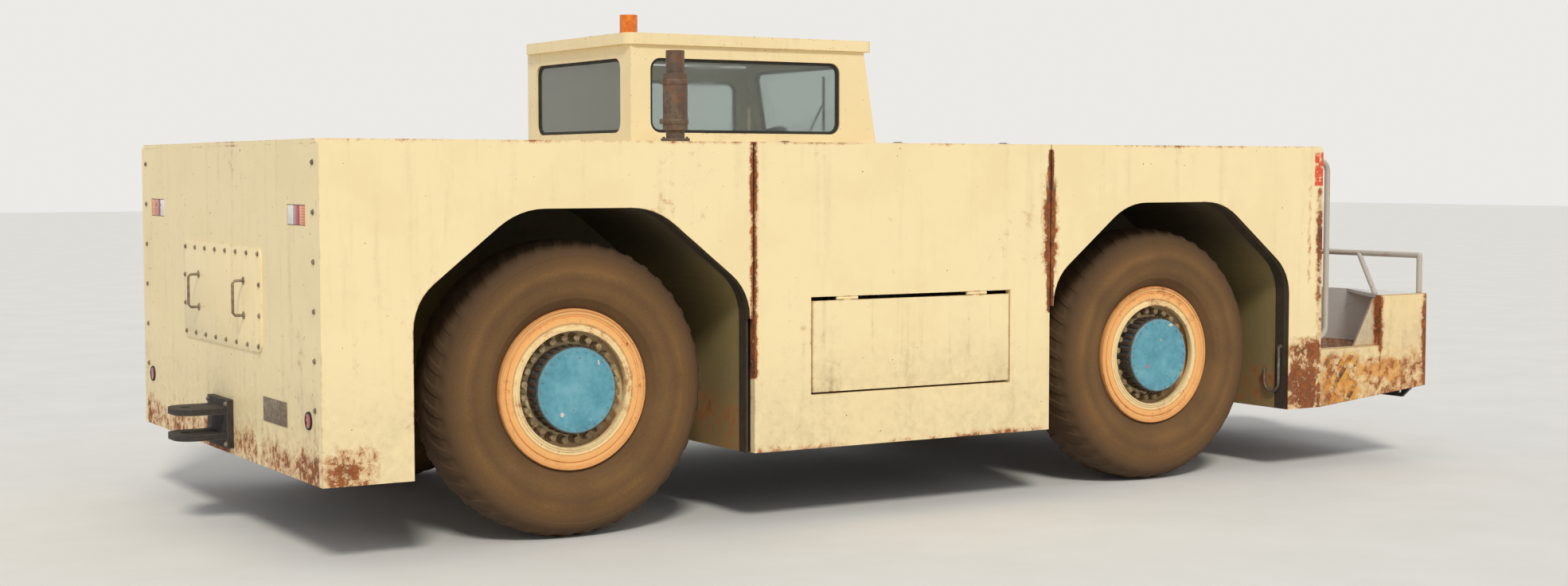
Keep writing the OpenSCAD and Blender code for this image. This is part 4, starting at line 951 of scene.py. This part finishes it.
def cushions():
    """Both pads of the seat, blown up by simulation, with piping round them."""
    shape = Shape()
    piping_r, sunk = 0.0034, 0.0006
    for low, high in parts_of("seat_cushions"):
        centre, half = (low + high) / 2, (high - low) / 2
        face = 2 if half.z < half.x else 0
        obj = stuffed(low, high, face)
        verts = [v.co.copy() for v in obj.data.vertices]
        faces = [list(p.vertices) for p in obj.data.polygons]
        bpy.data.objects.remove(obj)
        shape.add(verts, faces)
        skin = BVHTree.FromPolygons(verts, faces)
        start = Vector(centre)
        start[face] += 0.3 * half[face]
        rim = []
        for u, v in circle(1, 96):
            aim = Vector((0, v * half.y, 0))
            aim[2 - face] = u * half[2 - face]
            rim.append(skin.ray_cast(start, aim)[0] - aim.normalized() * sunk)
        shape.tube(rim, piping_r, 6, closed=True, slot=1)
    obj = shape.piece("seat_pads", "root", [vinyl(), mat_rubber], angle=180, slot="vinyl")
    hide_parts("seat_cushions")


# Inside the cab

def console_dials():
    """Instrument panel with its dials and switches on the face of the console."""
    shape = Shape()
    console_l, y0, y1, z0, z1 = 0.26, 0.44, 1.22, 1.51, 1.725
    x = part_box("cab_console")[1].x - console_l
    shape.prism(oblong(y0, z0, y1, z1, 0.02)[::-1], placer((x + 0.0005, 0, 0), "yzX"), 0.0035, 3)
    x -= 0.003
    shape.bolts(product([x + 0.0005], (y0 + 0.025, y1 - 0.025), (z0 + 0.02, z1 - 0.02)),
                ASTERN, 0.005, 0.004, 4)
    z, r = 1.655, 0.040
    for y in (0.520, 0.615, 0.785, 0.880):
        shape.spin([(r, 0.0), (r, 0.010), (r - 0.006, 0.012), (r - 0.008, 0.004)],
                   placer((x, y, z), "yzX"), 32)
        shape.prism(circle(r - 0.007, 32), placer((x, y, z), "YzX"), 0.004, 1)
        shape.box((x - 0.0055, y - 0.002, z - 0.005), (x - 0.0035, y + 0.002, z + 0.026), 2)
    for i in range(6):
        y = 0.955 + 0.042 * i
        shape.box((x - 0.010, y - 0.013, 1.640), (x + 0.001, y + 0.013, 1.685))
        shape.turned([(0, 0.004), (0.005, 0.003), (0.007, -0.001)], placer((x, y, 1.705), "yzX"), 12, 2)
    for y in (0.52, 1.00, 1.12):
        shape.turned([(0, 0.020), (0.010, 0.020), (0.013, 0.016), (0.014, -0.001)],
                     placer((x, y, 1.565), "yzX"), 20)
    steel = simple("panel_grey", "4d4f50", "5e6061", 0.5, 90, 0.2, Metallic=0.3)
    shape.piece("console_dials", "root", [mat_rubber, mat_clear, mat_red, steel, mat_bolt], bevel=0.0006,
                slot="black_plastic")


def cab_interior():
    """Ribbed mat, pedals and selector lever."""
    shape = Shape()
    x0, x1, y0, y1, z = cab_low.x + 0.08, 0.34, 0.20, 1.26, cab_low.z + 0.02
    shape.prism(oblong(x0, y0, x1, y1, 0.05), placer((0, 0, z - 0.001)), 0.006)
    for i in range(34):
        y = y0 + 0.035 + 0.03 * i
        shape.box((x0 + 0.05, y, z + 0.004), (x1 - 0.04, y + 0.012, z + 0.0075))
    lean = Matrix.Rotation(math.radians(-35), 3, "Y")
    for y, wide, long in ((0.57, 0.035, 0.145), (0.73, 0.045, 0.120)):
        middle = Vector((0.235, y, z + 0.13))
        shape.block(middle, (0.006, wide, long / 2), turn=lean)
        for along in row(4, 0.026):
            shape.block(middle + lean @ Vector((-0.006, 0, along)), (0.003, wide * 0.85, 0.005), turn=lean)
        shape.tube([(0.240, y, z + 0.135), (0.300, y, z + 0.19), (0.330, y, z + 0.26), (0.392, y, z + 0.29)],
                   0.009, 10, slot=1)
    y = 0.36
    shape.tube([(0.25, y, 1.738), (0.25, y, 1.752)], 0.036, 24)
    shape.tube([(0.25, y, 1.750), (0.235, y, 1.80), (0.215, y, 1.87)], 0.006, 10, slot=1)
    shape.turned([(0, -0.024), (0.012, -0.022), (0.020, -0.010), (0.022, 0.004), (0.017, 0.017),
                  (0.008, 0.023), (0, 0.024)], placer((0.214, y, 1.882)), 20)
    shape.piece("cab_interior", "root", [mat_rubber, mat_bolt], bevel=0.001, slot="black_plastic")


# The engine

def engine_block():
    """Engine block with its flanges, ribs, rocker covers, manifolds, filters, pulleys and pipes."""
    low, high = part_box("engine")
    middle_y = (low.y + high.y) / 2
    exhaust_y, intake_y, port_z = low.y + 0.075, high.y - 0.095, high.z + 0.075
    shape = Shape()
    for z0, z1, inset in ((low.z, 0.501, 0.050), (0.500, 0.531, 0.0), (0.530, 1.161, 0.024),
                          (1.160, 1.191, 0.0), (1.190, 1.471, 0.036), (1.470, high.z, 0.0)):
        shape.box((low.x + inset, low.y + inset, z0), (high.x - inset, high.y - inset, z1))
    for i in range(9):
        x = low.x + 0.07 + 0.1325 * i
        shape.box((x - 0.010, low.y + 0.004, 0.525), (x + 0.010, low.y + 0.03, 1.165))
        if i < 8:
            shape.turned([(0, 0.0), (0.036, 0.0), (0.042, 0.010), (0, 0.010)],
                         placer((x + 0.066, low.y + 0.014, 1.04), "xzy"), 24)
    for x in (-0.68, -0.30, 0.08):
        shape.prism(oblong(x - 0.17, -1.00, x + 0.17, -0.70, 0.04), placer((0, 0, high.z - 0.002)), 0.080, 1)
        for k in range(5):
            y = -0.945 + 0.04 * k
            shape.box((x - 0.13, y, port_z), (x + 0.13, y + 0.015, port_z + 0.013), 1)
        shape.bolts(product((x - 0.145, x + 0.145), (-0.975, -0.725), [port_z + 0.0025]), UP, 0.010, 0.012, 3)
    for i in range(12):
        x = low.x + 0.05 + 0.1 * i
        shape.bolts([(x, y, high.z - 0.0005) for y in (low.y + 0.022, high.y - 0.022)], UP, 0.010, 0.012, 3)
        shape.bolt((x, low.y - 0.0005, 1.1755), (0, -1, 0), 0.008, 0.010, 3)
    shape.tube([(0.20, exhaust_y, port_z), (-0.85, exhaust_y, port_z), (-0.98, -1.07, 1.60),
                (-1.10, -1.04, 1.62), (-1.252, -1.02, 1.62)], 0.038, 20, slot=4)
    shape.tube([(0.18, intake_y, port_z), (-0.76, intake_y, port_z)], 0.042, 20)
    for i in range(6):
        x = -0.72 + 0.17 * i
        shape.tube([(x, exhaust_y, port_z), (x, -1.04, 1.53), (x, -1.02, 1.495)], 0.026, 14, slot=4)
        shape.tube([(x, intake_y, port_z), (x, -0.59, 1.495)], 0.030, 14)
    shape.turned([(0, 0.0), (0.085, 0.0), (0.098, 0.012), (0.098, 0.075), (0.092, 0.08), (0.098, 0.085),
                  (0.098, 0.25), (0.105, 0.255), (0.105, 0.27), (0.09, 0.29), (0.03, 0.30), (0, 0.30)],
                 placer((-0.42, -0.60, 1.655), "yzX"), 40, 2)
    shape.tube([(-0.43, -0.60, 1.655), (-0.33, -0.60, 1.66), (-0.25, -0.59, 1.64), (-0.22, -0.58, 1.60),
                (-0.22, intake_y, 1.57)], 0.036, 18, slot=2)
    for x in (-0.50, -0.64):
        shape.box((x - 0.015, -0.68, 1.495), (x + 0.015, -0.52, port_z))
    for x in (-0.35, -0.20):
        y = low.y - 0.035
        shape.turned([(0, 0.0), (0.044, 0.0), (0.050, 0.012), (0.050, 0.17), (0.054, 0.175),
                      (0.054, 0.19), (0, 0.19)], placer((x, y, 0.69)), 28, 5)
        shape.box((x - 0.045, y - 0.04, 0.875), (x + 0.045, low.y + 0.03, 0.915))
    drop = [(-0.75, 0.02, 0.70), (-0.75, -0.05, 0.72), (-0.74, -0.06, 0.80), (-0.62, -0.06, 0.98),
            (-0.50, -0.055, 1.00), (-0.30, -0.04, 0.99), (-0.275, -0.03, 0.90)]
    shape.tube([(x, low.y + y, z) for x, y, z in drop], 0.014, 12, slot=2)
    shape.turned([(0, 0.0), (0.060, 0.0), (0.072, 0.015), (0.072, 0.20), (0.060, 0.205), (0.045, 0.24),
                  (0, 0.24)], placer((-0.09, low.y - 0.04, 0.76), "yzx"), 28, 1)
    belt = []
    for y, z, r, first, last in ((middle_y, 0.72, 0.115, -10, 0), (middle_y, 1.22, 0.085, 0, 6),
                                 (-1.02, 1.06, 0.050, 7, 10)):
        shape.turned([(0, 0.0), (r * 0.5, 0.0), (r * 0.5, 0.02), (r, 0.02), (r - 0.012, 0.032),
                      (r, 0.044), (r * 0.7, 0.046), (r * 0.6, 0.036), (0.03, 0.036), (0.026, 0.052),
                      (0, 0.052)], placer((high.x - 0.03, y, z), "yzx"), 40, 4)
        belt_r = r - 0.007
        angles = [math.pi * i / 10 for i in range(first, last + 1)]
        belt += [(high.x + 0.002, y + belt_r * math.cos(a), z + belt_r * math.sin(a)) for a in angles]
    shape.tube(belt, 0.006, 8, closed=True, slot=2)
    shape.turned([(0, 0.0), (0.034, 0.0), (0.038, 0.004), (0.038, 0.02), (0.030, 0.028), (0, 0.028)],
                 placer((-0.20, -0.86, 1.576)), 24, 2)
    grey = paint("engine_grey", "5d635c", wear=1.1, dirt=0.9, rough=0.55)
    cover = paint("rocker_paint", "7c8076", wear=1.0, dirt=0.6, rough=0.5)
    filters = paint("filter_paint", "b9b4a6", wear=0.8, dirt=0.8, rough=0.5)
    obj = shape.piece("engine_block", "root", [grey, cover, mat_rubber, mat_bolt, mat_exhaust, filters],
                      bevel=0.003, slot="grey_steel")
    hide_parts("engine")


# Fittings on the body

def fittings():
    """Bolts on the faces that have room for a head inside the outline, and the hood's latches."""
    shape = Shape()
    spots = [(x_bumper - 0.021, y, bumper_low.z - 0.015) for y in (-1.30, -1.0, -0.63, 0.63, 1.0, 1.30)]
    shape.bolts(spots, AHEAD, 0.009, 0.010)
    for count, z in ((11, grille_low.z - 0.035), (7, grille_high.z + 0.035)):
        shape.bolts([(x_face - 0.0005, y, z) for y in row(count, 0.19)], AHEAD, 0.009, 0.008)
    low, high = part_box("hitch_rear")
    for s in (1, -1):
        shape.bolts([(x_tail + 0.0005, s * (inner_y - 0.04), 0.46 + 0.21 * i) for i in range(7)],
                    ASTERN, 0.010, 0.008)
        shape.bolts([(x_tail - 0.0295, s * (high.y - 0.018), z) for z in (low.z + 0.02, high.z - 0.02)],
                    ASTERN, 0.010, 0.010)
    shape.piece("body_bolts", "root", [mat_bolt], bevel=0.0008, slot="grey_steel")
    low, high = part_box("engine_hood")
    shape = Shape()
    for x in (low.x + 0.2, (low.x + high.x) / 2, high.x - 0.2):
        y = low.y + 0.05
        shape.turned([(0, 0.004), (0.024, 0.004), (0.030, 0.0022), (0.031, -0.0005)],
                     placer((x, y, deck_z)), 32)
        shape.box((x - 0.020, y - 0.004, deck_z + 0.0035), (x + 0.020, y + 0.004, deck_z + 0.0075))
    shape.piece("hood_latches", "engine_hood", [mat_bolt], bevel=0.0008, slot="grey_steel")


def tail_fittings():
    """Service cover, lifting handles, reflectors and a blank plate on the tail."""
    shape = Shape()
    x, half, z0, z1 = x_tail + 0.0005, 0.62, 0.86, 1.34
    shape.prism(oblong(-half, z0, half, z1, 0.05)[::-1], placer((x, 0, 0), "yzX"), 0.0055)
    spots = [(x - 0.005, y, z) for y, z in product(row(8, 0.165), (z0 + 0.03, z1 - 0.03))]
    spots += [(x - 0.005, y, z) for y, z in product((0.03 - half, half - 0.03), (1.03, 1.17))]
    shape.bolts(spots, ASTERN, 0.009, 0.008, 1)
    z0, z1 = 1.02, 1.18
    for y in (-0.36, 0.36):
        shape.tube([(x - 0.003, y, z0), (x - 0.045, y, z0), (x - 0.057, y, z0 + 0.012),
                    (x - 0.057, y, z1 - 0.012), (x - 0.045, y, z1), (x - 0.003, y, z1)], 0.007, 10, slot=1)
        for z in (z0, z1):
            shape.turned([(0, 0.0), (0.018, 0.0), (0.018, 0.004), (0, 0.004)],
                         placer((x - 0.005, y, z), "yzX"), 20, 1)
    for y in (-1.24, 1.24):
        place = placer((x, y, 0.62), "yzX")
        shape.turned([(0, 0.006), (0.030, 0.006), (0.034, 0.0085), (0.038, 0.0085), (0.040, 0.0)],
                     place, 32, 2)
        shape.turned([(0, 0.0075), (0.031, 0.0075), (0.031, 0.003)], place, 32, 3)
    shape.box((x - 0.003, -0.95, 0.56), (x, -0.62, 0.67), 1)
    shape.bolts([(x - 0.0028, y, 0.615) for y in (-0.93, -0.64)], ASTERN, 0.006, 0.004, 1)
    shape.piece("tail_fittings", "root", [mat_tail, mat_bolt, mat_rubber, mat_red], bevel=0.001, angle=40,
                slot="cream_paint")


def gaskets():
    """Rubber seals inside the window openings, which have rounded corners."""
    def seal(shape, u0, v0, u1, v1, place, depth=0.022, wide=0.016):
        inner = oblong(u0 + wide, v0 + wide, u1 - wide, v1 - wide, WINDOW_R - wide)
        shape.ring(oblong(u0, v0, u1, v1, WINDOW_R), inner, place, depth)

    shape, inset = Shape(), 0.010
    y0, y1 = cab_low.y + 0.12, inner_y - 0.08
    seal(shape, y0, glass_z0, y1, glass_z1, placer((cab_low.x + inset, 0, 0), "yzx"))
    seal(shape, y0, glass_z0, y1, glass_z1,
         lambda u, v, w: Vector((windscreen_x(v) - inset - w, u, v)), 0.024)
    seal(shape, cab_low.x + 0.12, glass_z0, cab_high.x - 0.25, glass_z1,
         placer((0, cab_low.y + inset, 0), "xzy"))
    shape.piece("window_seals", "root", [mat_rubber], angle=50, slot="black_plastic")
    shape = Shape()
    seal(shape, door_low.x + 0.08, glass_z0 - 0.02, 0.24, door_high.z - 0.09,
         placer((0, inner_y + inset, 0), "xzy"))
    shape.piece("door_window_seal", "cab_door", [mat_rubber], angle=50, slot="black_plastic")


def windscreen_x(z):
    """The sloping front of the cab at a height."""
    return cab_high.x - CAB_SLOPE * (z - deck_z) / (cab_high.z - deck_z)


def wiper():
    """Wiper on the sloping windscreen."""
    shape = Shape()
    pivot_y, pivot_z, blade_y = 0.86, deck_z + 0.035, 0.60

    def on_glass(y, z, out):
        return windscreen_x(z) + out, y, z

    shape.tube([on_glass(pivot_y, pivot_z, -0.006), on_glass(pivot_y, pivot_z, 0.004)], 0.02, 12)
    shape.tube([on_glass(pivot_y, pivot_z, -0.001), on_glass(blade_y, deck_z + 0.25, -0.006)], 0.006, 8)
    shape.box(on_glass(blade_y - 0.01, deck_z + 0.10, -0.016),
              on_glass(blade_y + 0.01, deck_z + 0.42, 0.030), 1)
    shape.piece("wiper", "root", [mat_plastic, mat_rubber], slot="black_plastic")


def door_handle():
    """Flush handle in a framed recess of the cab door."""
    shape = Shape()
    x, z, y = door_low.x + 0.09, 1.30, half_w
    shape.box((x - 0.05, y - 0.0006, z - 0.085), (x + 0.05, y - 0.0001, z + 0.085), 1)
    shape.ring(oblong(x - 0.042, z - 0.075, x + 0.042, z + 0.075, 0.012),
               oblong(x - 0.034, z - 0.067, x + 0.034, z + 0.067, 0.008),
               placer((0, y - 0.004, 0), "xzy"), 0.0038)
    shape.box((x - 0.024, y - 0.0035, z - 0.01), (x + 0.026, y - 0.0004, z + 0.03))
    shape.piece("door_handle", "cab_door", [mat_chrome, mat_rubber], bevel=0.0008, slot="galvanised")


def hatch_latches():
    """Two slotted latches along the lower edge of the side hatch."""
    shape = Shape()
    low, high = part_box("side_hatch")
    for x in (low.x + 0.2, high.x - 0.2):
        z = low.z + 0.06
        shape.prism(circle(0.026, 24), placer((x, 0.0002 - half_w, z), "xzy"), 0.004)
        shape.box((x - 0.018, 0.00005 - half_w, z - 0.004), (x + 0.018, 0.003 - half_w, z + 0.004), 1)
    shape.piece("hatch_latches", "side_hatch", [mat_bolt, mat_rubber], slot="grey_steel")


def step_collars():
    """Raised lips round the holes of the step plates, whose lower outer corner is cut off."""
    shape = Shape()
    r, chamfer, rise, rim = HOLE_R, 0.1, 0.09, 0.6 * STEP_EDGE
    lip = [(r + 0.0005, -0.001), (r + 0.0005, 0.0055), (r + 0.003, 0.0065), (r + 0.0055, 0.003),
           (r + 0.0065, -0.001)]
    for s, j, i in product((1, -1), range(4), range(13)):
        y = STEP_Y + STEP_EDGE + HOLE_PITCH * (i + (j % 2) / 2)
        z = STEP_EDGE - 0.005 + HOLE_PITCH * j
        if y < inner_y - rim and y < inner_y - chamfer * (1 - z / rise) - rim:
            shape.spin(lip, placer((x_band, s * y, skirt_z + z), "yzx"), 16)
    shape.piece("step_collars", "root", [mat_band], angle=40, slot="galvanised")


def floor_tread():
    """Raised lozenges of the chequer plate on the platform floor."""
    shape = Shape()
    pitch = 0.052
    count_x = int((floor_high.x - floor_low.x - 0.03) / pitch)
    count_y = int((floor_high.y - floor_low.y - 0.06) / pitch)
    for i, j in product(range(count_x), range(count_y)):
        x, y = floor_low.x + 0.04 + pitch * i, floor_low.y + 0.055 + pitch * j
        if abs(y) > inner_y - 0.045 and x > x_post - 0.21:
            continue
        side = math.sqrt(0.5) * (1 if (i + j) % 2 else -1)
        up = math.sqrt(0.5)
        verts = []
        for long, wide, z in ((0.018, 0.006, floor_z - 0.0005), (0.012, 0.003, floor_z + 0.0024)):
            verts += [(x + u * up - v * side, y + u * side + v * up, z)
                      for u, v in ((-long, 0), (0, -wide), (long, 0), (0, wide))]
        shape.add(verts, [(4, 5, 6, 7), (0, 1, 5, 4), (1, 2, 6, 5), (2, 3, 7, 6), (3, 0, 4, 7)])
    worn = rusty("worn_tread", [(0.3, "6a4632"), (0.5, "94765c"), (0.7, "b7a48e")])
    shape.piece("floor_tread", "root", [worn], angle=20, slot="rusty_steel")


def arch_hooks():
    """Lashing hooks of round bar that hang inside the front arches."""
    bend, z_bend, z_top, z_tip, bar = 0.055, 0.50, 0.70, 0.57, 0.009
    for s, name in ((1, "left"), (-1, "right")):
        shape = Shape()
        x, y = x_front + ARCH_HALF - 0.016, s * (half_w - 0.115)
        path = [(x, y + s * bend, z_top), (x, y + s * bend, z_bend)]
        path += [(x, y + s * bend * math.cos(a), z_bend - bend * math.sin(a))
                 for a in (math.pi * i / 10 for i in range(1, 10))]
        path += [(x, y - s * bend, z_bend), (x, y - s * bend, z_tip)]
        shape.tube(path, bar, 10)
        shape.tube([(x, y + s * bend, z_top), (x + 0.016, y + s * bend, z_top)], 0.012, 10)
        shape.piece("arch_hook_" + name, "root", [mat_hook], angle=40, slot="grey_steel")


def lamp_details():
    """Bezels and lenses set into the lamp openings, and the beacon's ribbed dome."""
    shape = Shape()
    x, z = x_face - 0.006, HEAD_Z + HEAD_H / 2
    for s in (1, -1):
        y = s * (inner_y - HEAD_IN - HEAD_W / 2)
        outer, inner = ([(y + s * u * share_w * HEAD_W / 2, z + v * share_h * HEAD_H / 2)
                         for u, v in ((-1, -1), (1, -1), (1, 1), (-1, 1))][::s]
                        for share_w, share_h in ((1, 1), (0.88, 0.80)))
        shape.ring(outer, inner, placer((x, 0, 0), "yzx"), 0.005)
        for k in (-1, 1):
            shape.prism(circle(0.043, 32), placer((x, y + k * 0.05, z), "yzx"), 0.004, 1)
    shape.piece("headlamp_bezels", "root", [mat_chrome, mat_clear], bevel=0.001, slot="lamp_lens")
    shape = Shape()
    third, gap = TAIL_W / 3, 0.003
    for s, k in product((1, -1), range(3)):
        y = s * (inner_y - TAIL_IN - TAIL_W + third * (k + 0.5))
        shape.box((x_tail + 0.0006, y - third / 2 + gap, TAIL_Z + gap),
                  (x_tail + 0.0063, y + third / 2 - gap, TAIL_Z + TAIL_H - gap), k)
    shape.piece("tail_lenses", "root", [mat_clear, mat_red, mat_amber], bevel=0.002, slot="lamp_lens")
    x, y = cab_low.x + 0.3, (cab_low.y + half_w) / 2 - 0.05
    place = placer((x, y, roof_top))
    shape = Shape()
    shape.turned([(0, 0.0), (0.060, 0.0), (0.060, 0.022), (0.054, 0.030), (0, 0.030)], place, 40, 1)
    shape.turned([(0.050, 0.030), (0.049, 0.09), (0.044, 0.118), (0.032, 0.134), (0, 0.1398)], place, 40)
    for u, v in circle(1, 20):
        shape.tube([place(0.0485 * u, 0.0485 * v, 0.034), place(0.0475 * u, 0.0475 * v, 0.092)], 0.0018, 5)
    shape.piece("beacon_dome", "root", [mat_amber, mat_rubber], angle=50, slot="lamp_lens")


def welds():
    """Weld beads of the front coupler and of the bumper plate's ends."""
    shape = Shape()
    x, half = x_bumper, SHELF_HALF
    for i in range(4):
        z = shelf_z + SHELF_PITCH * i + SHELF_T
        if z < bumper_low.z:
            shape.bead([(x + 0.002, 0.03 - half, z), (x + 0.002, half - 0.03, z)], 0.006)
    for s in (1, -1):
        shape.bead([(x + 0.003, s * (half + 0.002), 0.602), (x + 0.003, s * (half + 0.002), 0.636)], 0.006)
        shape.bead([(x - 0.001, s * (half - 0.03), 0.642), (x + 0.001, s * (half + 0.004), 0.642)], 0.006)
    for s in (1, -1):
        y = s * (inner_y - 0.001)
        shape.bead([(x - 0.002, y, bumper_low.z + 0.01), (x - 0.002, y, bumper_high.z - 0.01)], 0.0045)
    shape.piece("weld_beads", "root", [mat_hitch], angle=60, slot="rusty_steel")


def exhaust_trim():
    """Two clamps round the silencer, and the bolts of the flange."""
    low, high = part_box("exhaust")
    x, y = (low.x + high.x) / 2, (low.y + high.y) / 2
    shape = Shape()
    for z in (low.z + 0.10, high.z - 0.15):
        shape.spin([(0.0605, -0.012), (0.0645, -0.012), (0.0645, 0.012), (0.0605, 0.012)],
                   placer((x, y, z)), 32)
        shape.box((x - 0.08, y - 0.012, z - 0.012), (x - 0.06, y + 0.012, z + 0.012))
    shape.bolts([(x + u, y + v, low.z + 0.02) for u, v in circle(0.058, 4, math.pi / 4)], UP, 0.006, 0.008)
    shape.piece("exhaust_clamps", "root", [mat_exhaust], bevel=0.001, slot="grey_steel")


def grab_feet():
    """Flanges at the feet of the grab rails, cut off at the side plates."""
    shape = Shape()
    foot = [(0.0162, 0.0005), (0.0162, 0.007), (0.020, 0.010), (0.034, 0.010), (0.036, 0.007),
            (0.036, 0.0005)]
    for s, z in product((1, -1), (floor_z + 0.08, deck_z - 0.08)):
        y = s * (inner_y - 0.02)
        shape.spin(foot, lambda u, v, w: Vector((x_face + w, max(-inner_y, min(inner_y, y + u)), z + v)), 32)
    shape.piece("grab_feet", "root", [mat_tube], angle=40, slot="galvanised")


# Floor, light and camera

def stage():
    """A pale floor, a soft sun, and a pale sky that shows as plain off-white."""
    n = Nodes("pale_floor")
    pale = n.finish(n.ramp(n.noise(1.5, 8, 0.7), [(0.3, "d9d7d2"), (0.7, "e0deda")]), 0.9)
    bpy.ops.mesh.primitive_plane_add(size=160, location=(0, 0, -0.0006))
    floor = bpy.context.object
    floor.name = "studio_floor"
    floor.data.materials.append(pale)
    world = bpy.data.worlds.new("studio")
    scene.world = world
    world.use_nodes = True
    tree = world.node_tree
    sky = tree.nodes["Background"]
    sky.inputs["Color"].default_value = (0.93, 0.96, 1.0, 1)
    sky.inputs["Strength"].default_value = 0.62
    wall = tree.nodes.new("ShaderNodeBackground")
    wall.inputs["Color"].default_value = lin("eceae6")
    rays = tree.nodes.new("ShaderNodeLightPath").outputs
    seen = rays["Is Camera Ray"]
    for kind in ("Is Transmission Ray", "Is Glossy Ray"):
        either = tree.nodes.new("ShaderNodeMath")
        either.operation = "MAXIMUM"
        tree.links.new(seen, either.inputs[0])
        tree.links.new(rays[kind], either.inputs[1])
        seen = either.outputs[0]
    mixer = tree.nodes.new("ShaderNodeMixShader")
    for socket, source in zip(mixer.inputs, (seen, sky.outputs[0], wall.outputs[0])):
        tree.links.new(source, socket)
    tree.links.new(mixer.outputs[0], tree.nodes["World Output"].inputs["Surface"])
    sun = bpy.data.lights.new("sun", "SUN")
    sun.energy = 1.9
    sun.angle = math.radians(12)
    sun.color = (1.0, 0.96, 0.88)
    lamp = bpy.data.objects.new("sun", sun)
    lamp.rotation_euler = Vector((0.35, 0.72, -0.75)).to_track_quat("-Z", "Y").to_euler()
    scene.collection.objects.link(lamp)


def camera():
    """The photograph's viewing angle, from behind on the right."""
    data = bpy.data.cameras.new("photo")
    data.sensor_width = 36
    data.lens = 48
    data.clip_end = 300
    obj = bpy.data.objects.new("photo", data)
    obj.location = (-6.31, -9.85, 1.68)
    obj.rotation_euler = Vector((0.524, 0.852, -0.058)).to_track_quat("-Z", "Y").to_euler()
    scene.collection.objects.link(obj)
    scene.camera = obj


for corner in wheels:
    tyre(corner)
    wheel(corner)
for job in (bumper, cushions, console_dials, fittings, engine_block, tail_fittings, cab_interior, gaskets,
            door_handle, hatch_latches, step_collars, floor_tread, arch_hooks, lamp_details, wiper, welds,
            exhaust_trim, grab_feet, stage, camera):
    job()
scene.view_settings.view_transform = "Standard"
